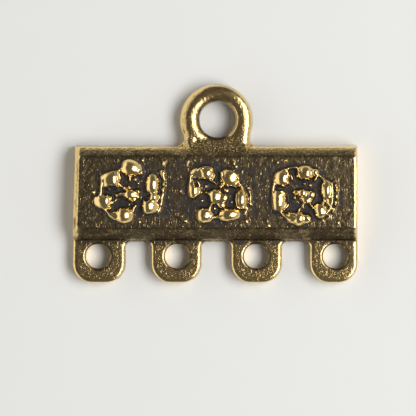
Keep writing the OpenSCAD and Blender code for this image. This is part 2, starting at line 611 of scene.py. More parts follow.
@dataclass(frozen=True)
class WireSection:
    """Cross-section of the main loop's wire: a low crown with steep sides, flatter on the right arm."""

    wire_z: float = 0.70
    half_h: float = 0.76
    left_crown: float = 0.40
    left_flank: float = 0.58
    right_crown: float = 0.29
    left_lean: float = 0.0
    right_lean: float = 0.08
    side: float = 9.0
    arm_turn: float = 1.5
    flank_reach: float = 0.5

    def top(self, x: np.ndarray, across: np.ndarray, half_w: float,
            rightwards: np.ndarray | float) -> np.ndarray:
        """Works out the height of the wire's upper surface.

        Args:
            x: X of each place, which tells the left arm from the right one.
            across: place across the wire, from -1 to 1.
            half_w: half the wire's width.
            rightwards: X part of the direction in which the place counts up.

        Returns:
            Height at each place.
        """
        right = ramp(x, -self.arm_turn, self.arm_turn)
        inwards = ramp(-across * rightwards, 0.0, self.flank_reach)
        crown = self.left_crown + (self.left_flank - self.left_crown) * inwards
        crown += (self.right_crown - crown) * right
        lean = self.left_lean + (self.right_lean - self.left_lean) * right
        rise = self.half_h - crown * half_w * across ** 2 - lean * half_w * across * rightwards
        return self.wire_z + rise * np.sqrt(np.clip(1 - np.abs(across) ** self.side, 0.0, 1.0))


WIRE = WireSection()


@dataclass
class MainLoop:
    """Ring above the bar, sunk below where the web closes it."""

    holes: Holes
    x: float = 0.09
    y: float = 4.39
    outer_r: float = 2.56
    inner_r: float = 1.24
    sink_from: float = 3.4
    sink_to: float = 2.6
    sunk_top: float = 1.2

    def build(self) -> Workpiece:
        """Shapes the ring from a torus.

        Returns:
            The ring, flat at the back.
        """
        bpy.ops.object.select_all(action="DESELECT")
        bpy.ops.mesh.primitive_torus_add(
            location=(self.x, self.y, WIRE.wire_z), major_segments=128, minor_segments=64,
            mode="EXT_INT", abso_major_rad=self.outer_r, abso_minor_rad=self.inner_r)
        ring = Workpiece.fresh("main_loop")
        ring.settle()
        points = ring.points()
        half_w = (self.outer_r - self.inner_r) / 2
        away = points[:, :2] - (self.x, self.y)
        reach = np.hypot(away[:, 0], away[:, 1])
        across = np.clip((reach - self.outer_r + half_w) / half_w, -1.0, 1.0)
        upper = points[:, 2] > WIRE.wire_z
        points[upper, 2] = WIRE.top(points[:, 0], across, half_w, away[:, 0] / reach)[upper]
        offset = np.array([self.holes.main.x - self.x, self.holes.main.y - self.y])
        points[:, :2] += (1 - across)[:, None] / 2 * offset
        sunk = ramp(self.sink_from - points[:, 1], 0.0, self.sink_from - self.sink_to)
        points[:, 2] *= 1 - sunk * (1 - self.sunk_top / (WIRE.wire_z + WIRE.half_h))
        ring.place(points)
        ring.trim(Vector((0.0, 0.0, 0.0)), UP)
        return ring


@dataclass
class Web:
    """Solid web below the main hole: it runs down from the bar's upper band to the hole's rim."""

    left: float = -1.6
    right: float = 1.9
    low: float = 2.0
    high: float = 3.5
    base_z: float = 0.3
    low_top: float = 1.78
    high_top: float = 1.16
    spread: float = 0.5
    edge_round: float = 0.12

    def build(self) -> Workpiece:
        """Shapes the web from a block that widens and rises towards the bar.

        Returns:
            The web.
        """
        web = Workpiece.block("web", Vector((self.left, self.low, self.base_z)),
                              Vector((self.right, self.high, self.low_top)))
        web.shift(lambda v: v.co.y < self.low + NEAR and v.co.x < 0, Vector((-self.spread, 0.0, 0.0)))
        web.shift(lambda v: v.co.y < self.low + NEAR and v.co.x > 0, Vector((self.spread, 0.0, 0.0)))
        web.shift(lambda v: v.co.y > self.high - NEAR and v.co.z > self.low_top - NEAR,
                  Vector((0.0, 0.0, self.high_top - self.low_top)))
        with web.editing(Pick.EDGES, lambda e: all(v.co.z > self.high_top - NEAR for v in e.verts)):
            bpy.ops.mesh.bevel(affect="EDGES", offset=self.edge_round, segments=3, profile=0.5)
        return web


@dataclass
class Leg:
    """Straight leg that carries the main loop's wire down to the bar."""

    name: str
    top: tuple[float, float]
    foot: tuple[float, float]
    half_w: float = 0.54

    def build(self) -> Workpiece:
        """Shapes the leg from a cylinder.

        Returns:
            The leg, flat at the back.
        """
        start, end = Vector((*self.top, WIRE.wire_z)), Vector((*self.foot, WIRE.wire_z))
        along = end - start
        bpy.ops.object.select_all(action="DESELECT")
        bpy.ops.mesh.primitive_cylinder_add(
            vertices=64, radius=self.half_w, depth=along.length, location=(start + end) / 2,
            rotation=UP.rotation_difference(along).to_euler())
        leg = Workpiece.fresh(self.name)
        leg.settle()
        points = leg.points()
        across = (points[:, :2] - self.top) @ (-along.y, along.x) / along.length / self.half_w
        upper = points[:, 2] > WIRE.wire_z
        points[upper, 2] = WIRE.top(points[:, 0], np.clip(across, -1.0, 1.0), self.half_w, 1.0)[upper]
        leg.place(points)
        leg.trim(Vector((0.0, 0.0, 0.0)), UP)
        return leg


def soft_max(first: np.ndarray, second: np.ndarray, reach: float) -> np.ndarray:
    """Takes the higher of two surfaces, with a fillet where they cross.

    Args:
        first: heights of one surface.
        second: heights of the other surface.
        reach: difference in height over which the fillet runs.

    Returns:
        The joined heights.
    """
    share = np.clip(0.5 + 0.5 * (second - first) / reach, 0.0, 1.0)
    return first + (second - first) * share + reach * share * (1 - share)


def aligned(x: np.ndarray, y: np.ndarray, place: tuple[float, float], turn: float) -> tuple:
    """Gives places in the axes of a turned form.

    Args:
        x: X of each place.
        y: Y of each place.
        place: the form's origin.
        turn: the form's direction in degrees.

    Returns:
        Distance along and across the form's direction.
    """
    dx, dy = x - place[0], y - place[1]
    cos, sin = math.cos(math.radians(turn)), math.sin(math.radians(turn))
    return dx * cos + dy * sin, dy * cos - dx * sin


def blurred(grid: np.ndarray, reach: float) -> np.ndarray:
    """Blurs a grid with a soft round window.

    Args:
        grid: values on a square grid.
        reach: standard deviation of the window, in cells.

    Returns:
        The blurred grid.
    """
    cut_off = 3
    half = math.ceil(cut_off * reach)
    window = np.exp(-0.5 * (np.arange(-half, half + 1) / reach) ** 2)
    window /= window.sum()
    for axis in (0, 1):
        grid = np.apply_along_axis(lambda line: np.convolve(line, window, "same"), axis, grid)
    return grid


@dataclass(frozen=True)
class Petal:
    """One raised petal or bead: a dome whose top may sit off its middle."""

    x: float
    y: float
    east: float
    west: float
    north: float
    south: float
    turn: float
    height: float
    base: float = -0.10
    side_power: float = 2.3

    def raised(self, x: np.ndarray, y: np.ndarray, root: float, fullness: float) -> np.ndarray:
        """Works out the dome's height.

        Args:
            x: X of each place, from the rosette's middle.
            y: Y of each place, from the rosette's middle.
            root: depth of the sheet outside the dome.
            fullness: 1 for a parabola, less for a flatter top and steeper flanks.

        Returns:
            Height at each place.
        """
        along, across = aligned(x, y, (self.x, self.y), self.turn)
        u = along / np.where(along > 0, self.east, self.west)
        v = np.abs(across) / np.where(across > 0, self.north, self.south)
        left = np.clip(1 - u * u - v ** self.side_power, 0.0, 1.0)
        return np.where(left > 0, self.base + (self.height - self.base) * left ** fullness, -root)


@dataclass(frozen=True)
class Hollow:
    """One dark hollow between the petals: a bowl that goes down to the field."""

    x: float
    y: float
    along: float
    across: float
    turn: float

    def share(self, x: np.ndarray, y: np.ndarray) -> np.ndarray:
        """Returns how far out each place is: 0 at the deepest point, 1 at the rim, more beyond."""
        along, across = aligned(x, y, (self.x, self.y), self.turn)
        return np.hypot(along / self.along, across / self.across)


@dataclass(frozen=True)
class Lip:
    """A thin crooked lip or vein that runs through a few points."""

    points: tuple[tuple[float, float], ...]
    half_w: float
    height: float
    crown: float = 0.7

    def raised(self, x: np.ndarray, y: np.ndarray, root: float) -> np.ndarray:
        """Works out the lip's height.

        Args:
            x: X of each place, from the rosette's middle.
            y: Y of each place, from the rosette's middle.
            root: how deep the lip is rooted.

        Returns:
            Height at each place; the root's depth beside the lip.
        """
        gap = np.full(x.shape, np.inf)
        for (x0, y0), (x1, y1) in zip(self.points, self.points[1:]):
            dx, dy = x1 - x0, y1 - y0
            share = np.clip(((x - x0) * dx + (y - y0) * dy) / (dx * dx + dy * dy), 0.0, 1.0)
            gap = np.minimum(gap, np.hypot(x - x0 - share * dx, y - y0 - share * dy))
        left = np.clip(1 - (gap / self.half_w) ** 2, 0.0, 1.0)
        return (self.height + root) * left ** self.crown - root


@dataclass
class Rosette:
    """Ring of petals folded round a few beads, with dark hollows between, standing on the field."""

    name: str
    x: float
    y: float
    petals: list[Petal]
    hollows: list[Hollow]
    beads: list[Petal]
    lips: list[Lip]
    stains: list[Hollow]
    ground: float = 2.0
    root: float = 0.10
    fullness: float = 0.72
    bowl_h: float = 0.42
    bowl_floor: float = 0.04
    bowl_power: float = 2.5
    petal_fillet: float = 0.06
    bowl_fillet: float = 0.05
    fine_fillet: float = 0.03
    soot_rim: Span = (0.75, 1.25)
    soot_lift: Span = (0.24, 0.42)
    stain_rim: Span = (0.4, 1.2)
    stain_share: float = 0.7
    blur: float = 0.045
    half_w: float = 2.75
    half_h: float = 2.42
    sheet_step: float = 0.036
    sheet_rim: Span = (0.95, 1.0)
    skirt: float = 0.4

    def height(self, x: np.ndarray, y: np.ndarray) -> np.ndarray:
        """Works out the relief.

        Args:
            x: X of each place, from the rosette's middle.
            y: Y of each place, from the rosette's middle.

        Returns:
            Height above the field at each place; below it outside the forms.
        """
        relief = np.full(x.shape, -self.root)
        for petal in self.petals:
            relief = soft_max(relief, petal.raised(x, y, self.root, self.fullness), self.petal_fillet)
        for hollow in self.hollows:
            depth = self.bowl_h - self.bowl_floor
            bowl = self.bowl_floor + depth * hollow.share(x, y) ** self.bowl_power
            relief = -soft_max(-relief, -bowl, self.bowl_fillet)
        for lip in self.lips:
            relief = soft_max(relief, lip.raised(x, y, self.root), self.fine_fillet)
        for bead in self.beads:
            relief = soft_max(relief, bead.raised(x, y, self.root, self.fullness), self.fine_fillet)
        return relief

    def soot(self, points: np.ndarray) -> np.ndarray:
        """Finds where the black patina stays in the hollows.

        Args:
            points: places on the casting, one row each.

        Returns:
            A share from 0 to 1 for each place.
        """
        x, y = points[:, 0] - self.x, points[:, 1] - self.y
        dark = np.zeros(len(points))
        for hollow in self.hollows:
            dark = np.maximum(dark, 1 - ramp(hollow.share(x, y), *self.soot_rim))
        for stain in self.stains:
            dark = np.maximum(dark, self.stain_share * (1 - ramp(stain.share(x, y), *self.stain_rim)))
        return dark * (1 - ramp(points[:, 2] - self.ground, *self.soot_lift))

    def build(self) -> Workpiece:
        """Shapes the rosette from a fine sheet and closes it below.

        Returns:
            The rosette, rooted in the field.
        """
        corner = Vector((self.half_w, self.half_h, 0.0))
        base = Vector((self.x, self.y, self.ground - self.root))
        count = round(2 * self.half_w / self.sheet_step)
        sheet = Workpiece.grid(self.name, base - corner, base + corner, count)
        points = sheet.points()
        x, y = points[:, 0] - self.x, points[:, 1] - self.y
        outwards = np.maximum(np.abs(x) / self.half_w, np.abs(y) / self.half_h)
        inside = 1 - ramp(outwards, *self.sheet_rim)
        relief = blurred(((self.height(x, y) + self.root) * inside).reshape(count + 1, count + 1),
                         self.blur / self.sheet_step)
        points[:, 2] = self.ground - self.root + relief.ravel()
        sheet.place(points)
        with sheet.editing(Pick.EDGES, lambda edge: len(edge.link_faces) == 1):
            bpy.ops.mesh.extrude_region_move(TRANSFORM_OT_translate={"value": (0.0, 0.0, -self.skirt)})
            bpy.ops.mesh.edge_face_add()
            bpy.ops.mesh.select_all(action="SELECT")
            bpy.ops.mesh.normals_make_consistent(inside=False)
        return sheet


@dataclass(frozen=True)
class Reading:
    """Turns forms read on the photo into millimetres from the middle of one rosette.

    Columns, rows and half lengths are in pixels of the photo's frame, 416 wide and 416 high, and
    heights and bases are in millimetres. Petals are nearer the camera than the floor, so they
    show a little larger than they are. What is worked out is rounded to 0.01 mm, and a pixel is
    about 0.07 mm.
    """

    x: float
    y: float
    pixel: float = 0.0702
    middle: float = 208.0
    aim_x: float = -0.491
    aim_y: float = -1.72
    distance: float = 260.0
    rise: float = 2.3
    petal_margin: float = 1.0
    bead_margin: float = 0.2
    hollow_share: float = 0.82
    low_h: float = 0.13

    def shown(self, pixels: float) -> float:
        """Returns the length in millimetres of a stretch of pixels on the petals."""
        return pixels * self.pixel * (1 - self.rise / self.distance)

    def place(self, column: float, row: float) -> tuple[float, float]:
        """Returns a pixel's place, from the rosette's middle."""
        return (round(self.aim_x + self.shown(column - self.middle) - self.x, 2),
                round(self.aim_y - self.shown(row - self.middle) - self.y, 2))

    def dome(self, place: tuple[float, float], halves: tuple[float, ...], margin: float, turn: float,
             height: float, base: float) -> Petal:
        """Sizes one dome from its half lengths.

        Args:
            place: the dome's top, from the rosette's middle.
            halves: half lengths east, west, north and south, in pixels.
            margin: pixels added on each side to what is read.
            turn: the dome's direction in degrees.
            height: the dome's height above the field.
            base: the height at which its flanks end.

        Returns:
            The dome.
        """
        sides = (round(self.shown(half + margin), 2) for half in halves)
        return Petal(*place, *sides, turn, height, base)

    def petal(self, column: float, row: float, east: float, west: float, north: float, south: float,
              turn: float, height: float) -> Petal:
        """Returns the petal whose top is at a pixel."""
        return self.dome(self.place(column, row), (east, west, north, south), self.petal_margin, turn,
                         height, Petal.base)

    def bead(self, column: float, row: float, east: float, west: float, north: float, south: float,
             turn: float, height: float, base: float | None = None) -> Petal:
        """Reads a bead, which ends on the field if it is a low one.

        Args:
            column: column of the bead's top.
            row: row of the bead's top.
            east: half length forwards.
            west: half length backwards.
            north: half width on the left of its direction.
            south: half width on the right of its direction.
            turn: the bead's direction in degrees.
            height: the bead's height above the field.
            base: the height at which its flanks end, where it stands on another form.

        Returns:
            The bead.
        """
        if base is None:
            base = 0.0 if height <= self.low_h else Petal.base
        return self.dome(self.place(column, row), (east, west, north, south), self.bead_margin, turn,
                         height, base)

    def bowl(self, place: tuple[float, float], along: float, across: float, turn: float,
             share: float) -> Hollow:
        """Returns a bowl that is as wide as a share of what is read."""
        return Hollow(*place, round(along * self.pixel * share, 2),
                      round(across * self.pixel * share, 2), turn)

    def hollow(self, column: float, row: float, along: float, across: float, turn: float) -> Hollow:
        """Returns the hollow whose deepest point is at a pixel."""
        return self.bowl(self.place(column, row), along, across, turn, self.hollow_share)

    def stain(self, column: float, row: float, along: float, across: float, turn: float) -> Hollow:
        """Returns the stain whose middle is at a pixel."""
        return self.bowl(self.place(column, row), along, across, turn, 1.0)

    def lip(self, points: list[tuple[float, float]], half_w: float, height: float) -> Lip:
        """Returns the lip that runs through a few pixels."""
        return Lip(tuple(self.place(*point) for point in points), round(half_w * self.pixel, 3), height)


LEFT = Reading(-6.14, -0.63)
LEFT_ROSETTE = Rosette(
    "left_rosette", LEFT.x, LEFT.y,
    petals=[
        LEFT.petal(129.4, 167.6, 13.4, 8.6, 8.0, 8.6, -14, 0.48),
        LEFT.petal(112.0, 178.4, 8.0, 12.5, 7.6, 12.0, 10, 0.46),
        LEFT.petal(105.2, 200.0, 6.5, 12.0, 5.6, 9.5, 0, 0.45),
        LEFT.petal(123.0, 215.2, 11.0, 7.6, 8.2, 8.0, 0, 0.46),
        LEFT.petal(114.5, 215.6, 8.0, 7.5, 3.5, 4.0, -25, 0.26),
        LEFT.petal(147.2, 206.6, 11.4, 5.8, 9.8, 8.0, 0, 0.48),
        LEFT.petal(152.2, 186.0, 7.6, 7.4, 12.5, 8.0, 0, 0.45),
        LEFT.petal(153.2, 197.2, 6.2, 4.2, 5.0, 5.6, 0, 0.42),
    ],
    hollows=[
        LEFT.hollow(112.0, 189.8, 9.5, 6.0, 0), LEFT.hollow(123.8, 179.8, 6.6, 4.4, -65),
        LEFT.hollow(118.0, 202.8, 8.5, 5.0, 35), LEFT.hollow(134.0, 182.5, 9.0, 5.0, -10),
        LEFT.hollow(145.5, 197.5, 6.0, 5.0, 0), LEFT.hollow(139.0, 210.0, 8.0, 3.6, 90),
        LEFT.hollow(133.5, 204.5, 4.5, 3.2, 60), LEFT.hollow(125.0, 205.0, 5.0, 3.2, 0),
        LEFT.hollow(111.5, 210.5, 4.0, 3.0, 30), LEFT.hollow(144.0, 189.0, 5.0, 3.0, 90),
    ],
    beads=[
        LEFT.bead(130.0, 195.3, 9.5, 8.0, 6.0, 6.0, 0, 0.36),
        LEFT.bead(140.4, 172.8, 3.4, 2.6, 3.2, 3.0, 20, 0.34, 0.10),
        LEFT.bead(129.6, 194.4, 7.6, 5.0, 5.0, 5.0, 0, 0.48, 0.26),
        LEFT.bead(137.6, 191.8, 3.2, 2.8, 2.4, 2.4, 0, 0.38, 0.20),
        LEFT.bead(137.0, 196.8, 3.2, 2.8, 2.4, 2.4, 0, 0.36, 0.18),
        LEFT.bead(133.6, 199.9, 3.4, 3.0, 2.0, 2.0, 15, 0.34, 0.18),
        LEFT.bead(126.6, 188.2, 6.0, 5.0, 2.6, 2.4, 0, 0.22),
        LEFT.bead(108.6, 189.4, 1.5, 1.3, 1.4, 1.4, 0, 0.15),
        LEFT.bead(112.2, 188.8, 1.4, 1.2, 1.6, 1.6, 0, 0.15),
        LEFT.bead(138.0, 183.4, 1.5, 1.3, 1.3, 1.3, 0, 0.15),
        LEFT.bead(110.0, 208.2, 2.4, 2.0, 2.0, 2.0, 0, 0.30),
        LEFT.bead(129.4, 204.4, 2.4, 2.0, 2.0, 2.0, 35, 0.30),
        LEFT.bead(135.0, 179.6, 3.0, 3.0, 2.6, 2.6, 0, 0.16),
        LEFT.bead(162.2, 173.8, 4.8, 2.4, 4.4, 4.4, 0, 0.20, 0.0),
        LEFT.bead(164.0, 163.6, 1.9, 1.6, 3.4, 3.2, -10, 0.15, 0.0),
        LEFT.bead(161.2, 160.2, 1.4, 1.4, 1.6, 1.6, 0, 0.07),
        LEFT.bead(165.8, 167.6, 1.3, 1.3, 1.6, 1.6, 0, 0.07),
        LEFT.bead(159.0, 170.2, 1.2, 1.2, 1.4, 1.4, 0, 0.07),
        LEFT.bead(163.8, 184.2, 1.9, 1.6, 3.0, 2.8, 0, 0.28),
        LEFT.bead(162.8, 190.4, 2.2, 1.7, 3.8, 3.8, 8, 0.27),
        LEFT.bead(161.0, 197.4, 1.7, 1.5, 4.0, 3.8, 10, 0.20),
        LEFT.bead(159.6, 204.4, 1.6, 1.4, 3.4, 3.4, 12, 0.19),
        LEFT.bead(157.4, 210.0, 1.7, 1.5, 2.6, 2.6, 20, 0.17),
        LEFT.bead(93.0, 192.4, 1.8, 1.6, 1.8, 1.8, 0, 0.11),
        LEFT.bead(142.2, 160.2, 1.4, 1.3, 1.4, 1.4, 0, 0.10),
        LEFT.bead(117.0, 224.8, 1.6, 1.4, 1.5, 1.5, 0, 0.09),
        LEFT.bead(139.0, 222.0, 1.6, 1.5, 1.4, 1.4, 0, 0.09),
        LEFT.bead(143.0, 225.2, 1.7, 1.5, 1.4, 1.4, 0, 0.10),
    ],
    lips=[
        LEFT.lip([(102.0, 180.0), (101.2, 186.0), (101.0, 193.0), (98.6, 197.0)], 1.8, 0.32),
        LEFT.lip([(105.0, 174.4), (112.0, 171.8), (118.0, 170.8), (123.0, 168.0)], 1.5, 0.27),
        LEFT.lip([(102.0, 207.0), (108.6, 213.0)], 1.4, 0.24),
        LEFT.lip([(118.6, 173.0), (120.0, 179.0)], 2.2, 0.42),
        LEFT.lip([(119.0, 183.8), (121.6, 186.6)], 1.2, 0.26),
        LEFT.lip([(117.0, 195.4), (122.0, 194.4), (127.0, 195.2)], 2.8, 0.34),
        LEFT.lip([(111.6, 203.6), (116.4, 199.6)], 1.3, 0.26),
        LEFT.lip([(108.6, 214.0), (114.0, 218.4)], 1.8, 0.24),
        LEFT.lip([(136.0, 205.6), (133.6, 208.4), (133.0, 211.6)], 1.8, 0.36),
        LEFT.lip([(130.0, 176.6), (130.0, 181.0)], 1.5, 0.32),
        LEFT.lip([(111.0, 196.2), (111.4, 199.0)], 1.4, 0.36),
        LEFT.lip([(163.6, 177.6), (165.6, 182.0), (165.6, 186.5), (164.0, 190.5)], 1.4, 0.19),
        LEFT.lip([(163.8, 192.0), (162.2, 198.0), (161.4, 204.6)], 1.4, 0.19),
        LEFT.lip([(160.4, 208.0), (157.6, 213.0)], 1.4, 0.17),
        LEFT.lip([(166.4, 177.0), (164.4, 181.6)], 1.0, 0.08),
    ],
    stains=[
        LEFT.stain(146.0, 169.0, 5.0, 8.0, 0), LEFT.stain(166.5, 205.0, 3.5, 14.0, 0),
        LEFT.stain(98.0, 176.0, 3.0, 8.0, 0),
    ],
)
MIDDLE = Reading(0.18, -0.74)
MIDDLE_ROSETTE = Rosette(
    "middle_rosette", MIDDLE.x, MIDDLE.y,
    petals=[
        MIDDLE.petal(199.2, 173.8, 3.2, 9.6, 6.0, 6.2, 0, 0.31),
        MIDDLE.petal(206.6, 173.2, 8.0, 8.5, 6.8, 7.0, 0, 0.47),
        MIDDLE.petal(193.4, 190.8, 8.0, 6.0, 12.0, 8.5, 0, 0.46),
        MIDDLE.petal(228.4, 177.6, 12.4, 8.8, 9.2, 9.4, -15, 0.48),
        MIDDLE.petal(240.6, 200.4, 7.6, 5.6, 12.0, 9.2, 0, 0.46),
        MIDDLE.petal(228.0, 215.0, 13.5, 10.0, 7.0, 6.4, 4, 0.45),
        MIDDLE.petal(203.2, 214.8, 12.0, 7.2, 7.4, 8.0, 0, 0.46),
    ],
    hollows=[
        MIDDLE.hollow(205.0, 182.5, 9.5, 5.5, -8), MIDDLE.hollow(210.5, 188.0, 6.0, 4.0, 0),
        MIDDLE.hollow(202.0, 203.6, 9.0, 6.0, -12), MIDDLE.hollow(197.5, 182.5, 6.5, 4.5, 80),
        MIDDLE.hollow(217.5, 176.0, 8.0, 3.2, 90), MIDDLE.hollow(230.5, 190.5, 7.5, 5.5, 10),
        MIDDLE.hollow(231.0, 203.5, 6.5, 6.0, 60), MIDDLE.hollow(214.6, 208.6, 7.0, 4.6, 90),
        MIDDLE.hollow(223.0, 191.5, 3.5, 3.0, 0), MIDDLE.hollow(198.5, 197.5, 4.5, 3.0, 0),
    ],
    beads=[
        MIDDLE.bead(217.0, 197.4, 10.5, 8.0, 8.0, 9.6, 0, 0.34),
        MIDDLE.bead(213.8, 196.4, 10.6, 5.0, 7.6, 8.4, 0, 0.50, 0.10),
        MIDDLE.bead(223.0, 198.0, 5.2, 3.8, 4.4, 4.4, 0, 0.43, 0.26),
        MIDDLE.bead(220.8, 205.2, 5.2, 3.6, 3.2, 3.0, 0, 0.38, 0.20),
        MIDDLE.bead(221.0, 186.9, 2.8, 2.4, 2.6, 2.6, 0, 0.38),
        MIDDLE.bead(201.4, 192.4, 2.0, 1.8, 2.2, 2.2, 0, 0.36),
        MIDDLE.bead(226.6, 190.8, 3.6, 3.4, 3.0, 3.0, 0, 0.22),
        MIDDLE.bead(214.4, 208.4, 3.0, 3.0, 3.0, 3.0, 0, 0.18),
        MIDDLE.bead(202.0, 170.0, 1.6, 1.6, 1.6, 1.6, 0, 0.50),
        MIDDLE.bead(206.4, 186.2, 2.4, 2.2, 2.2, 2.2, 0, 0.16),
        MIDDLE.bead(202.0, 200.6, 1.6, 1.4, 1.4, 1.4, 0, 0.14),
        MIDDLE.bead(231.4, 202.2, 1.6, 1.4, 1.4, 1.4, 0, 0.15),
        MIDDLE.bead(243.4, 208.0, 2.4, 2.2, 2.0, 2.0, 0, 0.36),
        MIDDLE.bead(213.2, 217.4, 2.8, 2.6, 2.6, 2.6, 0, 0.40),
        MIDDLE.bead(248.4, 188.0, 1.5, 1.3, 2.0, 2.0, 0, 0.12),
        MIDDLE.bead(249.8, 191.8, 1.8, 1.6, 2.2, 2.2, 0, 0.24),
        MIDDLE.bead(250.0, 198.4, 1.2, 1.2, 2.4, 2.4, 0, 0.16),
        MIDDLE.bead(247.0, 207.8, 1.7, 1.5, 1.9, 1.9, 0, 0.14),
        MIDDLE.bead(245.0, 213.8, 1.4, 1.3, 1.8, 1.8, -20, 0.10),
        MIDDLE.bead(250.8, 204.4, 1.6, 1.4, 1.2, 1.2, 0, 0.09),
        MIDDLE.bead(185.4, 221.4, 2.0, 1.8, 1.6, 1.6, 20, 0.11),
        MIDDLE.bead(246.0, 221.2, 1.5, 1.4, 1.6, 1.6, 0, 0.11),
        MIDDLE.bead(240.0, 225.2, 2.0, 1.7, 1.6, 1.6, 0, 0.10),
        MIDDLE.bead(233.4, 163.4, 1.6, 1.5, 1.6, 1.6, 0, 0.09),
        MIDDLE.bead(235.8, 166.6, 1.8, 1.6, 1.7, 1.7, 0, 0.09),
        MIDDLE.bead(242.0, 171.6, 1.4, 1.3, 2.0, 2.0, 0, 0.08),
        MIDDLE.bead(180.6, 191.0, 1.3, 1.2, 2.2, 2.2, 0, 0.08),
        MIDDLE.bead(181.4, 216.2, 1.6, 1.5, 1.3, 1.3, -30, 0.08),
    ],
    lips=[
        MIDDLE.lip([(191.0, 175.5), (190.0, 181.0), (189.6, 187.0)], 1.7, 0.34),
        MIDDLE.lip([(199.2, 169.8), (198.8, 173.0), (199.8, 177.0)], 2.6, 0.33),
        MIDDLE.lip([(239.0, 183.0), (242.6, 188.0)], 1.6, 0.26),
        MIDDLE.lip([(200.0, 168.4), (205.0, 166.6), (210.0, 167.0), (212.8, 169.2)], 1.6, 0.40),
        MIDDLE.lip([(213.0, 178.6), (215.0, 174.6)], 1.5, 0.38),
        MIDDLE.lip([(209.8, 179.6), (213.0, 181.6), (215.6, 183.0)], 1.7, 0.34),
        MIDDLE.lip([(197.8, 181.4), (200.0, 185.6)], 1.5, 0.32),
        MIDDLE.lip([(206.0, 192.4), (209.0, 193.2), (210.4, 197.0), (212.6, 200.4)], 1.7, 0.36),
        MIDDLE.lip([(210.8, 205.4), (209.4, 209.6)], 1.5, 0.36),
        MIDDLE.lip([(235.4, 186.8), (240.6, 184.4)], 2.0, 0.38),
        MIDDLE.lip([(221.4, 172.0), (222.0, 177.0), (224.6, 182.0)], 1.8, 0.44),
        MIDDLE.lip([(229.0, 170.6), (235.0, 173.6), (239.0, 179.0)], 1.5, 0.42),
        MIDDLE.lip([(236.6, 194.0), (236.0, 200.0), (237.0, 206.4)], 1.7, 0.40),
        MIDDLE.lip([(216.6, 217.2), (221.0, 215.8)], 2.2, 0.32),
        MIDDLE.lip([(250.6, 193.0), (250.8, 199.0), (249.8, 204.0)], 1.2, 0.15),
        MIDDLE.lip([(247.6, 208.4), (244.8, 214.6)], 1.2, 0.16),
        MIDDLE.lip([(190.0, 157.0), (188.0, 160.6)], 1.8, 0.14),
        MIDDLE.lip([(187.4, 162.0), (186.8, 166.0)], 1.2, 0.12),
    ],
    stains=[
        MIDDLE.stain(190.5, 208.0, 6.0, 15.0, 0), MIDDLE.stain(246.0, 171.0, 4.0, 7.0, 20),
        MIDDLE.stain(212.0, 224.0, 14.0, 3.0, 0), MIDDLE.stain(217.0, 164.0, 6.0, 4.0, 0),
    ],
)
RIGHT = Reading(6.21, -0.81)
